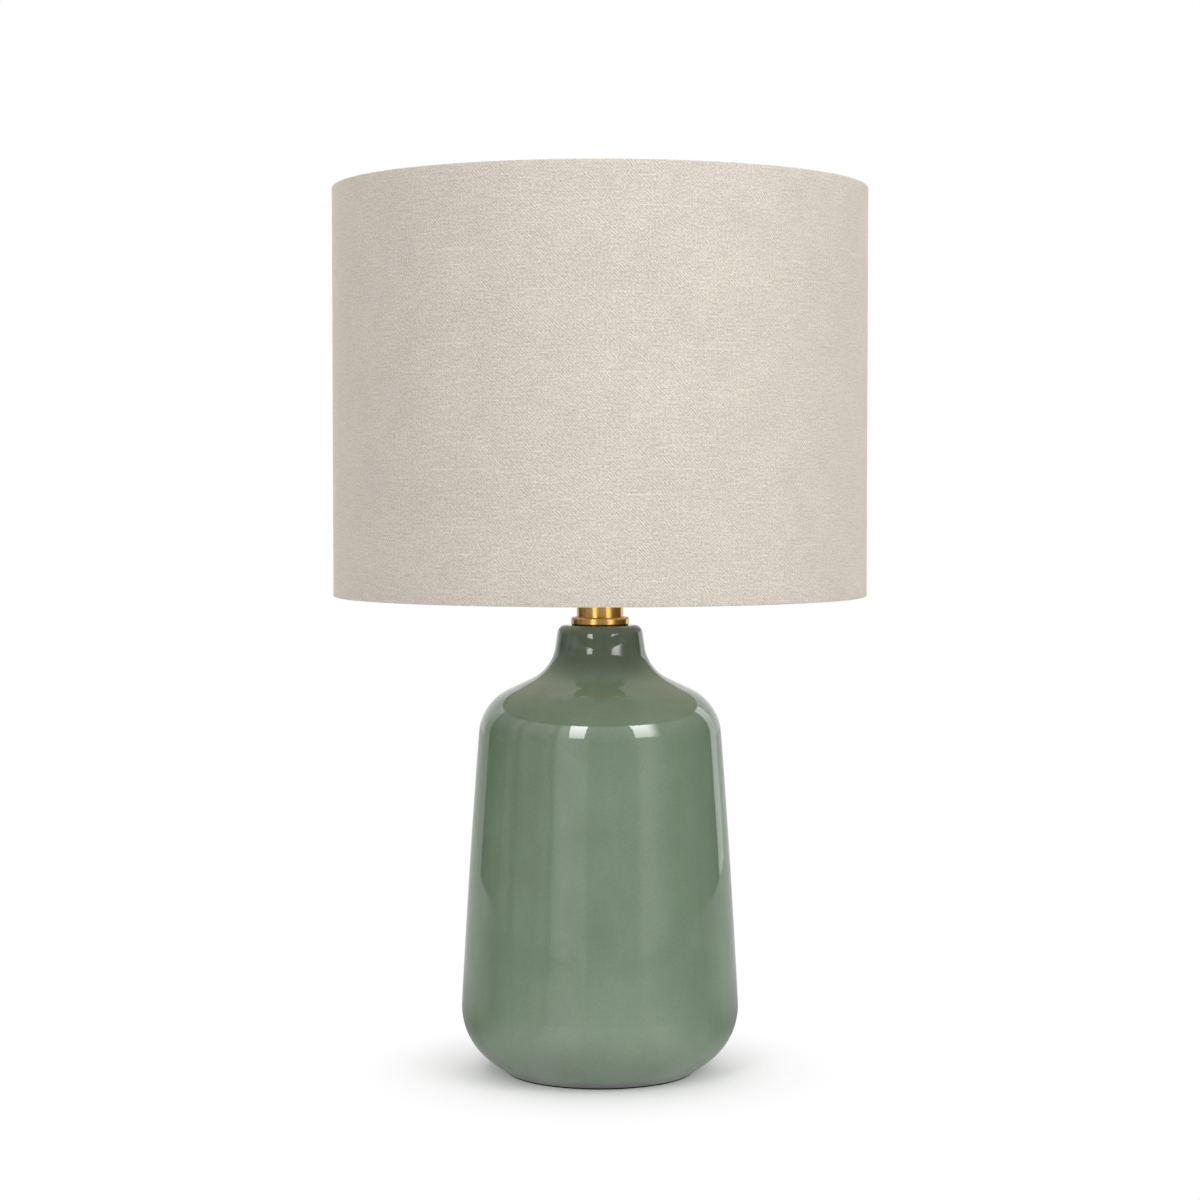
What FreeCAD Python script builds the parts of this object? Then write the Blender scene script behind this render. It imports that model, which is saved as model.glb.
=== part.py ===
# Ceramic table lamp: a glazed stoneware base, a brass neck, a switched lamp socket, a wire harp and a drum shade
# Every length is in millimetres, Z is up, and the lamp stands on Z = 0 with its axis on the origin
import FreeCAD, Part
import math
import os
import Sketcher

doc = FreeCAD.newDocument("TableLamp")

# Driving dimensions, one line for each, in the order in which the lamp is put together
SIZES = {
    # Felt pad and the foot of the ceramic body
    "felt_thickness": 1.2,
    "felt_inset": 0.8,
    "foot_radius": 64.0,
    "foot_ring_width": 11.0,
    "foot_recess_depth": 9.0,
    "floor_thickness": 5.5,
    "floor_opening_radius": 40.0,
    # Outline of the ceramic body: discs that its curves roll round
    "ceramic_height": 299.1,
    "ceramic_wall": 5.5,
    "belly_radius": 92.97,
    "belly_rise": 43.26,
    "belly_round": 44.07,
    "belly_inner_round": 30.0,
    "side_round": 6700.0,
    "shoulder_reach": 46.89,
    "shoulder_round": 34.4,
    "shoulder_straight": 16.88,
    "neck_drop": 10.47,
    "neck_round": 28.3,
    "lip_straight": 9.82,
    "lip_reach": 28.56,
    "lip_round": 5.63,
    # Cord outlet at the back of the belly
    "cord_bore_radius": 3.2,
    "grommet_wall": 1.6,
    "grommet_clearance": 0.1,
    "grommet_flange": 2.4,
    "grommet_flange_thickness": 1.8,
    "grommet_round": 0.8,
    "grommet_seat_depth": 0.8,
    "grommet_grip": 7.0,
    "grommet_ridge": 0.7,
    "grommet_tail": 2.4,
    # Clamping stack on the threaded tube
    "tube_radius": 4.85,
    "tube_bore_radius": 3.2,
    "tube_chamfer": 0.7,
    "tube_tail": 2.0,
    "tube_clearance": 0.25,
    "base_plate_inset": 1.5,
    "base_plate_thickness": 1.6,
    "washer_radius": 9.5,
    "washer_thickness": 1.2,
    "nut_width": 14.3,
    "nut_thickness": 3.2,
    # Brass neck
    "gasket_radius": 18.9,
    "gasket_thickness": 0.6,
    "flange_radius": 19.5,
    "flange_thickness": 4.8,
    "flange_round": 1.5,
    "flange_chamfer": 0.4,
    "flange_groove_depth": 1.0,
    "flange_groove_clearance": 0.35,
    "neck_tube_radius": 15.6,
    "neck_tube_length": 24.0,
    "neck_tube_wall": 1.2,
    "neck_tube_round": 1.6,
    # Harp saddle, a bent strip
    "saddle_thickness": 1.6,
    "saddle_width": 9.0,
    "saddle_ring_radius": 12.5,
    "saddle_bend": 3.0,
    "saddle_tab_height": 9.0,
    "saddle_pin_length": 8.0,
    # Harp, a bent wire
    "harp_height": 241.3,
    "harp_wire_radius": 1.9,
    "harp_foot_reach": 29.5,
    "harp_leg_length": 24.0,
    "harp_leg_round": 20.0,
    "harp_belly_reach": 57.0,
    "harp_belly_rise": 112.0,
    "harp_belly_round": 58.0,
    "harp_top_reach": 50.0,
    "harp_top_round": 43.0,
    "sleeve_length": 17.0,
    "sleeve_wall": 0.9,
    "sleeve_round": 0.4,
    "sleeve_clearance": 0.1,
    # Stud that the shade sits on
    "stud_block_radius": 5.2,
    "stud_block_height": 7.6,
    "stud_rest_radius": 9.5,
    "stud_rest_thickness": 2.0,
    "stud_post_radius": 3.175,
    "stud_post_length": 12.0,
    "stud_chamfer": 0.5,
    "stud_wire_clearance": 0.05,
    # Socket: cap, shell, insulator, switch body, screw shell and contact
    "socket_hub_radius": 8.6,
    "socket_hub_height": 6.0,
    "socket_cap_radius": 17.2,
    "socket_cap_height": 19.0,
    "socket_cap_wall": 0.8,
    "socket_cap_round": 6.0,
    "set_screw_radius": 1.5,
    "set_screw_head": 1.2,
    "set_screw_slot": 0.7,
    "set_screw_clearance": 0.05,
    "socket_shell_radius": 16.2,
    "socket_shell_length": 44.0,
    "socket_shell_wall": 0.6,
    "socket_shell_overlap": 6.0,
    "socket_shell_round": 1.2,
    "socket_shell_lip": 1.4,
    "insulator_wall": 0.7,
    "socket_gap": 0.1,
    "switch_body_height": 20.0,
    "switch_body_step": 3.2,
    "switch_step_height": 8.0,
    "screw_shell_radius": 13.8,
    "screw_shell_wall": 0.5,
    "screw_shell_length": 22.0,
    "screw_shell_hole": 7.0,
    "contact_radius": 4.0,
    "contact_thickness": 1.2,
    "contact_round": 0.5,
    "terminal_radius": 2.6,
    "terminal_head": 1.1,
    "terminal_slot": 0.7,
    "terminal_rise": 4.2,
    # Switch knob and its shaft
    "shaft_radius": 1.6,
    "shaft_clearance": 0.3,
    "shaft_depth": 6.0,
    "shaft_rise": 14.0,
    "shaft_grip": 7.0,
    "knob_gap": 6.0,
    "knob_radius": 5.8,
    "knob_length": 13.0,
    "knob_collar_radius": 3.8,
    "knob_collar_length": 3.0,
    "knob_round": 1.4,
    "knob_flute_radius": 0.9,
    "knob_fit_clearance": 0.05,
    # Bulb
    "bulb_clearance": 0.4,
    "bulb_button_radius": 4.2,
    "bulb_button_height": 1.4,
    "bulb_button_round": 0.7,
    "bulb_seat_radius": 9.4,
    "bulb_seat_height": 3.0,
    "bulb_cap_radius": 12.9,
    "bulb_cap_length": 20.0,
    "bulb_cap_round": 2.0,
    "bulb_collar_foot_radius": 13.4,
    "bulb_collar_foot_height": 2.0,
    "bulb_collar_radius": 22.0,
    "bulb_collar_length": 28.0,
    "bulb_collar_swell": 90.0,
    "bulb_neck_swell": 46.0,
    "bulb_dome_radius": 30.0,
    "bulb_dome_rise": 26.0,
    "bulb_dome_wall": 1.4,
    # Drum shade
    "shade_radius": 177.8,
    "shade_height": 270.0,
    "linen_thickness": 0.6,
    "lining_thickness": 0.7,
    "shade_gap": 0.05,
    "ring_wire_radius": 1.5,
    "ring_clearance": 0.5,
    "hem_corner": 1.0,
    "hem_straight": 0.8,
    "hem_tail_length": 3.0,
    "hem_bend": 2.0,
    "spider_wire_radius": 1.5,
    "spider_drop": 11.65,
    "spider_run": 16.0,
    "spider_bend": 7.0,
    "spider_shoulder": 14.0,
    "spider_notch_clearance": 0.35,
    "spider_end_gap": 0.15,
    "hub_radius": 12.7,
    "hub_thickness": 3.0,
    "hub_hole_radius": 3.7,
    "hub_round": 0.5,
    "seat_gap": 0.05,
    # Finial
    "finial_foot_radius": 7.0,
    "finial_foot_height": 3.0,
    "finial_waist_radius": 4.3,
    "finial_waist_height": 2.6,
    "finial_ball_radius": 6.2,
    "finial_ball_rise": 4.5,
    "finial_round": 0.8,
    "finial_bore_clearance": 0.1,
    "finial_bore_depth": 11.0,
    # How far a cutting tool runs past the metal that it cuts
    "overrun": 1.0,
}

# Angles in degrees and counts
CORD_TILT = 14.0
ARM_COUNT = 3
FIRST_ARM_ANGLE = 90.0
NUT_SIDES = 6
FLUTE_COUNT = 12

# How far in from the ceramic wall the ceiling of the hollow neck ends, as a share of that wall
CEILING_INSET_SHARE = 1.2


class Size:
    """A length: the number that it has now and the sheet formula that it follows."""

    def __init__(self, number, formula):
        self.number = number
        self.formula = formula

    def combined(self, other, sign, number):
        text = other.formula if isinstance(other, Size) else repr(other)
        return Size(number, "(%s %s %s)" % (self.formula, sign, text))

    def __add__(self, other):
        return self.combined(other, "+", self.number + other.number)

    def __sub__(self, other):
        return self.combined(other, "-", self.number - other.number)

    def __mul__(self, share):
        return self.combined(share, "*", self.number * share)

    def __truediv__(self, share):
        return self.combined(share, "/", self.number / share)

    def __neg__(self):
        return Size(-self.number, "(-%s)" % self.formula)


def long_side(first, second):
    """The longest side of a right triangle with these two short sides."""
    number = math.hypot(first.number, second.number)
    return Size(number, "sqrt(%s ^ 2 + %s ^ 2)" % (first.formula, second.formula))


def short_side(longest, other):
    """The third side of a right triangle whose longest side and one other are given."""
    number = math.sqrt(longest.number ** 2 - other.number ** 2)
    return Size(number, "sqrt(%s ^ 2 - %s ^ 2)" % (longest.formula, other.formula))


class Lengths:
    """The sheet's lengths, each read by its alias."""

    def __getattr__(self, alias):
        return Size(SIZES[alias], "Sizes." + alias)


sheet = doc.addObject("Spreadsheet::Sheet", "Sizes")
for row, alias in enumerate(SIZES, start=1):
    sheet.set("A%d" % row, alias)
    sheet.set("B%d" % row, str(SIZES[alias]))
    sheet.setAlias("B%d" % row, alias)
doc.recompute()

mm = Lengths()
ZERO = Size(0.0, "0 mm")
UP = FreeCAD.Vector(0, 0, 1)
parts = []


# Outlines: stops joined by the lines that touch them, as a belt runs over pulleys
class Stop:
    """One stop of an outline: a sharp point, or a disc that the outline rolls round to the left or the right."""

    def __init__(self, across, up, radius=None, turn=1, swell=None):
        self.across = across
        self.up = up
        self.radius = radius
        self.turn = turn
        self.swell = swell
        self.centre = FreeCAD.Vector(across.number, up.number, 0)
        self.offset = turn * radius.number if radius else 0.0


def left(across, up, radius, swell=None):
    return Stop(across, up, radius, 1, swell)


def right(across, up, radius, swell=None):
    return Stop(across, up, radius, -1, swell)


def touching_line(first, second):
    """The ends of the straight line that touches two stops, each on its own side."""
    gap = second.centre - first.centre
    twist = second.offset - first.offset
    reach = math.sqrt(gap.dot(gap) - twist * twist)
    normal = FreeCAD.Vector(-gap.y, gap.x, 0)
    along = (gap * reach - normal * twist) / gap.dot(gap)
    aside = FreeCAD.Vector(-along.y, along.x, 0)
    return first.centre - aside * first.offset, second.centre - aside * second.offset


def touching_arc(first, second):
    """The centre and the ends of the swelling arc that wraps two points or discs which turn alike."""
    swell = first.swell.number
    gap = second.centre - first.centre
    apart = gap.Length
    to_first = swell - abs(first.offset)
    to_second = swell - abs(second.offset)
    along = (to_first ** 2 - to_second ** 2 + apart ** 2) / (2 * apart)
    aside = math.sqrt(to_first ** 2 - along ** 2) * first.turn
    normal = FreeCAD.Vector(-gap.y, gap.x, 0)
    centre = first.centre + (gap * along + normal * aside) / apart
    start = centre + (first.centre - centre).normalize() * swell
    end = centre + (second.centre - centre).normalize() * swell
    return centre, start, end


def arc_between(centre, radius, start, end, turn):
    """A sketch arc from start to end, and which of its ends is the start."""
    ends = (start, end) if turn > 0 else (end, start)
    angles = [math.atan2(p.y - centre.y, p.x - centre.x) for p in ends]
    circle = Part.Circle(centre, UP, radius)
    arc = Part.ArcOfCircle(circle, angles[0], angles[1] if angles[1] > angles[0] else angles[1] + 2 * math.pi)
    return arc, (1, 2) if turn > 0 else (2, 1)


def fix(sketch, kind, item, end, size):
    """Ties one coordinate or radius of a sketch item to its size."""
    if kind == "Radius":
        index = sketch.addConstraint(Sketcher.Constraint("Radius", item, size.number))
    elif size.number == 0:
        axis = -2 if kind == "DistanceX" else -1
        sketch.addConstraint(Sketcher.Constraint("PointOnObject", item, end, axis))
        return
    else:
        index = sketch.addConstraint(Sketcher.Constraint(kind, item, end, size.number))
    sketch.setExpression("Constraints[%d]" % index, size.formula)


def draw_outline(sketch, stops, closed=True):
    """Draws the belt round the stops, fully constrained: places and radii follow the sheet."""
    count = len(stops)
    legs = []
    for i in range(count if closed else count - 1):
        first, second = stops[i], stops[(i + 1) % count]
        if first.swell:
            centre, start, end = touching_arc(first, second)
            arc, ends = arc_between(centre, first.swell.number, start, end, first.turn)
            item = sketch.addGeometry(arc)
            fix(sketch, "Radius", item, None, first.swell)
        else:
            start, end = touching_line(first, second)
            item = sketch.addGeometry(Part.LineSegment(start, end))
            ends = (1, 2)
        legs.append((item, ends, start, end))
    for i, stop in enumerate(stops):
        before = legs[i - 1] if closed or i > 0 else None
        after = legs[i] if i < len(legs) else None
        if stop.radius:
            arc, ends = arc_between(stop.centre, stop.radius.number, before[3], after[2], stop.turn)
            item = sketch.addGeometry(arc)
            sketch.addConstraint(Sketcher.Constraint("Tangent", before[0], before[1][1], item, ends[0]))
            sketch.addConstraint(Sketcher.Constraint("Tangent", item, ends[1], after[0], after[1][0]))
            fix(sketch, "Radius", item, None, stop.radius)
            fix(sketch, "DistanceX", item, 3, stop.across)
            fix(sketch, "DistanceY", item, 3, stop.up)
            continue
        if before and after:
            joint = Sketcher.Constraint("Coincident", before[0], before[1][1], after[0], after[1][0])
            sketch.addConstraint(joint)
        item, end = (after[0], after[1][0]) if after else (before[0], before[1][1])
        fix(sketch, "DistanceX", item, end, stop.across)
        fix(sketch, "DistanceY", item, end, stop.up)


# Makers: each one adds a body or a feature whose sizes are bound to the sheet
def new_body(label):
    body = doc.addObject("PartDesign::Body", label)
    body.Label = label
    return body


def origin_item(body, role):
    return next(item for item in body.Origin.OriginFeatures if item.Role == role)


def new_sketch(body, name, plane, height=None):
    """A sketch on one of the body's own planes, moved along that plane's normal by height."""
    sketch = body.newObject("Sketcher::SketchObject", name)
    sketch.AttachmentSupport = [(origin_item(body, plane), "")]
    sketch.MapMode = "FlatFace"
    if height:
        sketch.setExpression("AttachmentOffset.Base.z", height.formula)
    return sketch


def draw_circle(sketch, across, up, radius):
    centre = FreeCAD.Vector(across.number, up.number, 0)
    item = sketch.addGeometry(Part.Circle(centre, UP, radius.number))
    fix(sketch, "Radius", item, None, radius)
    if across.number == 0 and up.number == 0:
        sketch.addConstraint(Sketcher.Constraint("Coincident", item, 3, -1, 1))
        return
    fix(sketch, "DistanceX", item, 3, across)
    fix(sketch, "DistanceY", item, 3, up)


def place(item, across=None, back=None, up=None):
    """Moves a finished piece: its placement follows the sheet too."""
    for axis, size in (("x", across), ("y", back), ("z", up)):
        if size:
            item.setExpression("Placement.Base." + axis, size.formula)


def keep(item, label):
    """Marks an object of the document as one of the lamp's pieces."""
    item.Label = label
    parts.append(item)
    return item


def spun(body, label, sketch):
    """Spins a sketch right round the body's upright axis."""
    turn = body.newObject("PartDesign::Revolution", label + "_turn")
    turn.Profile = sketch
    turn.ReferenceAxis = (sketch, ["V_Axis"])
    turn.Angle = 360


def turned(label, stops, kept=True):
    """A turned piece: its half outline, across by up, spun round the lamp's axis."""
    body = new_body(label)
    sketch = new_sketch(body, label + "_outline", "XZ_Plane")
    draw_outline(sketch, stops)
    spun(body, label, sketch)
    return keep(body, label) if kept else body


def ring_stops(inner, outer, low, high):
    """The half outline of a plain washer or tube."""
    return [Stop(inner, low), Stop(outer, low), Stop(outer, high), Stop(inner, high)]


def chamfered_stops(inner, outer, low, high, chamfer):
    """The half outline of a tube whose outer edges are chamfered."""
    return [Stop(inner, low), Stop(outer - chamfer, low), Stop(outer, low + chamfer),
            Stop(outer, high - chamfer), Stop(outer - chamfer, high), Stop(inner, high)]


def padded(body, name, sketch, length, both_ways=False):
    """Raises a sketch to a thickness, upward or half to each side."""
    pad = body.newObject("PartDesign::Pad", name)
    pad.Profile = sketch
    if both_ways:
        pad.SideType = "Symmetric"
    pad.setExpression("Length", length.formula)


def repeated(body, name, feature, count):
    """Repeats a cut evenly round the body's own upright axis."""
    doc.recompute()
    pattern = body.newObject("PartDesign::PolarPattern", name)
    pattern.Originals = [feature]
    pattern.Axis = (origin_item(body, "Z_Axis"), [""])
    pattern.Angle = 360
    pattern.Occurrences = count
    body.Tip = pattern
    return pattern


def bored(body, name, plane, across, up, radius, length, start=None, backwards=False):
    """Drills a round hole along the normal of one of the body's planes."""
    sketch = new_sketch(body, name + "_outline", plane, start)
    draw_circle(sketch, across, up, radius)
    hole = body.newObject("PartDesign::Pocket", name)
    hole.Profile = sketch
    hole.Reversed = backwards
    hole.setExpression("Length", length.formula)
    return hole


def bent_wire(label, stops, radius, spin=0.0):
    """A wire: a circle swept along a route in the upright plane that the wire lies in."""
    body = new_body(label)
    route = new_sketch(body, label + "_route", "XZ_Plane")
    draw_outline(route, stops, closed=False)
    first, second = stops[0].centre, stops[1].centre
    upright = abs(second.x - first.x) < abs(second.y - first.y)
    if upright:
        section = new_sketch(body, label + "_section", "XY_Plane", stops[0].up)
        draw_circle(section, stops[0].across, ZERO, radius)
    else:
        section = new_sketch(body, label + "_section", "YZ_Plane", stops[0].across)
        draw_circle(section, ZERO, stops[0].up, radius)
    doc.recompute()
    pipe = body.newObject("PartDesign::AdditivePipe", label + "_wire")
    pipe.Profile = section
    pipe.Spine = (route, ["Edge%d" % (i + 1) for i in range(len(route.Shape.Edges))])
    if spin:
        body.Placement = FreeCAD.Placement(FreeCAD.Vector(), FreeCAD.Rotation(UP, spin))
    return keep(body, label)


def rod(name, radius, length):
    """A plain cylinder for cutting with, or for a pin."""
    cylinder = doc.addObject("Part::Cylinder", name)
    cylinder.setExpression("Radius", radius.formula)
    cylinder.setExpression("Height", length.formula)
    return cylinder


def cut(label, base, tool, kept=True):
    result = doc.addObject("Part::Cut", label)
    result.Base = base
    result.Tool = tool
    return keep(result, label) if kept else result


def hexagon_nut(label, low, thickness):
    """A nut on the threaded tube, with a clear bore."""
    prism = doc.addObject("Part::Prism", label + "_blank")
    prism.Polygon = NUT_SIDES
    prism.setExpression("Circumradius", "%s / 2 / cos(180 / %d)" % (mm.nut_width.formula, NUT_SIDES))
    prism.setExpression("Height", thickness.formula)
    place(prism, up=low)
    bore = rod(label + "_bore", mm.tube_radius + mm.tube_clearance, thickness + mm.overrun * 2)
    place(bore, up=low - mm.overrun)
    return cut(label, prism, bore)


# Levels of the stack, from the table up
foot_level = mm.felt_thickness
ceramic_top = foot_level + mm.ceramic_height
floor_under = foot_level + mm.foot_recess_depth
floor_top = floor_under + mm.floor_thickness
plate_under = floor_under - mm.base_plate_thickness
washer_under = plate_under - mm.washer_thickness
nut_under = washer_under - mm.nut_thickness
gasket_top = ceramic_top + mm.gasket_thickness
flange_top = gasket_top + mm.flange_thickness
neck_tube_foot = flange_top - mm.flange_groove_depth
neck_tube_top = flange_top + mm.neck_tube_length
lock_nut_top = neck_tube_top + mm.nut_thickness
saddle_top = lock_nut_top + mm.saddle_thickness
tab_top = saddle_top + mm.saddle_tab_height
pin_top = tab_top + mm.saddle_pin_length
hub_top = saddle_top + mm.socket_hub_height
cap_top = saddle_top + mm.socket_cap_height
shell_foot = cap_top - mm.socket_shell_overlap
shell_top = shell_foot + mm.socket_shell_length
switch_top = shell_foot + mm.switch_body_height
shaft_level = shell_foot + mm.shaft_rise
contact_top = switch_top + mm.contact_thickness
rest_level = lock_nut_top + mm.harp_height
spider_hub_foot = rest_level + mm.seat_gap
spider_level = spider_hub_foot + mm.hub_thickness / 2
spider_hub_top = spider_hub_foot + mm.hub_thickness
ring_level = spider_level + mm.spider_drop
ring_wrap = mm.ring_wire_radius + mm.ring_clearance
shade_top = ring_level + ring_wrap + mm.linen_thickness
shade_foot = shade_top - mm.shade_height

# Radii that more than one piece follows
tube_hole = mm.tube_radius + mm.tube_clearance
foot_recess_radius = mm.foot_radius - mm.foot_ring_width
insulator_radius = mm.socket_shell_radius - mm.socket_shell_wall - mm.socket_gap
switch_radius = insulator_radius - mm.insulator_wall - mm.socket_gap
shaft_hole = mm.shaft_radius + mm.shaft_clearance
lining_radius = mm.shade_radius - mm.linen_thickness - mm.shade_gap
lining_inside = lining_radius - mm.lining_thickness
ring_reach = lining_inside - ring_wrap

# Felt pad, glued under the foot
pad_radius = mm.foot_radius - mm.felt_inset
turned("felt_pad", ring_stops(ZERO, pad_radius, ZERO, foot_level))

# Ceramic body: one slip-cast shell, open at the foot, with a rod hole in the neck and a cord hole in the belly
# Its curves hang on each other from the lip down, so a change of one keeps the straight stretches between them
ceiling = ceramic_top - mm.ceramic_wall
lip_across = mm.lip_reach - mm.lip_round
lip_level = ceramic_top - mm.lip_round
neck_level = ceramic_top - mm.neck_drop
lip_to_neck = long_side(mm.lip_round + mm.neck_round, mm.lip_straight)
neck_across = lip_across + short_side(lip_to_neck, lip_level - neck_level)
neck_to_shoulder = long_side(mm.neck_round + mm.shoulder_round, mm.shoulder_straight)
shoulder_level = neck_level - short_side(neck_to_shoulder, neck_across - mm.shoulder_reach)
belly_level = foot_level + mm.belly_rise
belly_reach = mm.belly_radius - mm.belly_round
hollow_reach = mm.belly_radius - mm.ceramic_wall - mm.belly_inner_round
ceramic_shell = turned("ceramic_shell", [
    Stop(mm.foot_radius, foot_level),
    left(belly_reach, belly_level, mm.belly_round, swell=mm.side_round),
    left(mm.shoulder_reach, shoulder_level, mm.shoulder_round),
    right(neck_across, neck_level, mm.neck_round),
    left(lip_across, lip_level, mm.lip_round),
    Stop(tube_hole, ceramic_top),
    Stop(tube_hole, ceiling),
    Stop(mm.lip_reach - mm.ceramic_wall * CEILING_INSET_SHARE, ceiling),
    left(neck_across, neck_level, mm.neck_round + mm.ceramic_wall),
    right(mm.shoulder_reach, shoulder_level, mm.shoulder_round - mm.ceramic_wall,
          swell=mm.side_round - mm.ceramic_wall),
    right(hollow_reach, floor_top + mm.belly_inner_round, mm.belly_inner_round),
    Stop(mm.floor_opening_radius, floor_top),
    Stop(mm.floor_opening_radius, floor_under),
    Stop(foot_recess_radius, floor_under),
    Stop(foot_recess_radius, foot_level)], kept=False)

# The cord's line starts at the centre of the belly's curve, so it leaves square to the surface
CORD_LINE = FreeCAD.Rotation(FreeCAD.Vector(1, 0, 0), -90.0 - CORD_TILT)
grommet_radius = mm.cord_bore_radius + mm.grommet_wall
grommet_seat = mm.belly_round - mm.grommet_seat_depth


def along_cord(item):
    """Puts a piece that was made upright onto the cord's line."""
    item.Placement = FreeCAD.Placement(FreeCAD.Vector(), CORD_LINE)
    place(item, back=belly_reach, up=belly_level)
    return item


cord_drill = along_cord(rod("cord_drill", grommet_radius + mm.grommet_clearance, mm.belly_round + mm.overrun))
flange_reach = grommet_radius + mm.grommet_flange
spot_face = turned("spot_face", ring_stops(ZERO, flange_reach + mm.grommet_clearance, grommet_seat,
                                           mm.belly_round + mm.overrun), kept=False)
along_cord(spot_face)
drilled_shell = cut("drilled_shell", ceramic_shell, cord_drill, kept=False)
cut("ceramic_body", drilled_shell, spot_face)

# Rubber grommet in the cord hole: a flange outside, a grip through the wall and a snap ridge inside
ridge_top = grommet_seat - mm.grommet_grip
ridge_foot = ridge_top - mm.grommet_tail
flange_end = grommet_seat + mm.grommet_flange_thickness
along_cord(turned("cord_grommet", [
    Stop(mm.cord_bore_radius, ridge_foot),
    Stop(grommet_radius - mm.grommet_ridge, ridge_foot),
    Stop(grommet_radius + mm.grommet_ridge, ridge_top),
    Stop(grommet_radius, ridge_top),
    Stop(grommet_radius, grommet_seat),
    Stop(flange_reach, grommet_seat),
    left(flange_reach - mm.grommet_round, flange_end - mm.grommet_round, mm.grommet_round),
    left(mm.cord_bore_radius + mm.grommet_round, flange_end - mm.grommet_round, mm.grommet_round)]))

# Clamping stack under the floor: base plate, washer and nut on the threaded tube that runs up to the socket
turned("base_plate", ring_stops(tube_hole, foot_recess_radius - mm.base_plate_inset, plate_under, floor_under))
turned("lock_washer", ring_stops(tube_hole, mm.washer_radius, washer_under, plate_under))
hexagon_nut("bottom_nut", nut_under, mm.nut_thickness)
turned("threaded_tube", chamfered_stops(mm.tube_bore_radius, mm.tube_radius, nut_under - mm.tube_tail,
                                        hub_top, mm.tube_chamfer))

# Brass neck: a gasket on the ceramic, a flange with a groove, and a spun tube that stands in the groove
turned("neck_gasket", ring_stops(tube_hole, mm.gasket_radius, ceramic_top, gasket_top))
groove_outside = mm.neck_tube_radius + mm.flange_groove_clearance
groove_inside = mm.neck_tube_radius - mm.neck_tube_wall - mm.flange_groove_clearance
turned("neck_flange", [
    Stop(tube_hole, gasket_top),
    Stop(mm.flange_radius - mm.flange_chamfer, gasket_top),
    Stop(mm.flange_radius, gasket_top + mm.flange_chamfer),
    left(mm.flange_radius - mm.flange_round, flange_top - mm.flange_round, mm.flange_round),
    Stop(groove_outside, flange_top),
    Stop(groove_outside, neck_tube_foot),
    Stop(groove_inside, neck_tube_foot),
    Stop(groove_inside, flange_top),
    Stop(tube_hole, flange_top)])
neck_tube_inside = mm.neck_tube_radius - mm.neck_tube_wall
turned("neck_tube", [
    Stop(neck_tube_inside, neck_tube_foot),
    Stop(mm.neck_tube_radius, neck_tube_foot),
    left(mm.neck_tube_radius - mm.neck_tube_round, neck_tube_top - mm.neck_tube_round, mm.neck_tube_round),
    Stop(tube_hole, neck_tube_top),
    Stop(tube_hole, neck_tube_top - mm.neck_tube_wall),
    Stop(neck_tube_inside, neck_tube_top - mm.neck_tube_wall)])
hexagon_nut("lock_nut", neck_tube_top, mm.nut_thickness)

# Harp saddle: a strip bent up at both ends, with a ring for the tube and a pin on each end
half_strip = mm.saddle_thickness / 2
bend_reach = mm.harp_foot_reach - half_strip - mm.saddle_bend
bend_level = saddle_top + mm.saddle_bend
outer_bend = mm.saddle_bend + mm.saddle_thickness
saddle = new_body("harp_saddle")
strip = new_sketch(saddle, "strip_outline", "XZ_Plane")
draw_outline(strip, [
    left(-bend_reach, bend_level, outer_bend),
    left(bend_reach, bend_level, outer_bend),
    Stop(mm.harp_foot_reach + half_strip, tab_top),
    Stop(mm.harp_foot_reach - half_strip, tab_top),
    right(bend_reach, bend_level, mm.saddle_bend),
    right(-bend_reach, bend_level, mm.saddle_bend),
    Stop(-(mm.harp_foot_reach - half_strip), tab_top),
    Stop(-(mm.harp_foot_reach + half_strip), tab_top)])
padded(saddle, "strip", strip, mm.saddle_width, both_ways=True)
ring_sketch = new_sketch(saddle, "ring_outline", "XY_Plane", lock_nut_top)
draw_circle(ring_sketch, ZERO, ZERO, mm.saddle_ring_radius)
padded(saddle, "ring", ring_sketch, mm.saddle_thickness)
pins = new_sketch(saddle, "pin_outlines", "XY_Plane", tab_top)
for side in (mm.harp_foot_reach, -mm.harp_foot_reach):
    draw_circle(pins, side, ZERO, mm.harp_wire_radius)
padded(saddle, "pins", pins, mm.saddle_pin_length)
bored(saddle, "tube_hole", "XY_Plane", ZERO, ZERO, tube_hole, mm.saddle_thickness + mm.overrun, start=saddle_top)
keep(saddle, "harp_saddle")

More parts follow.
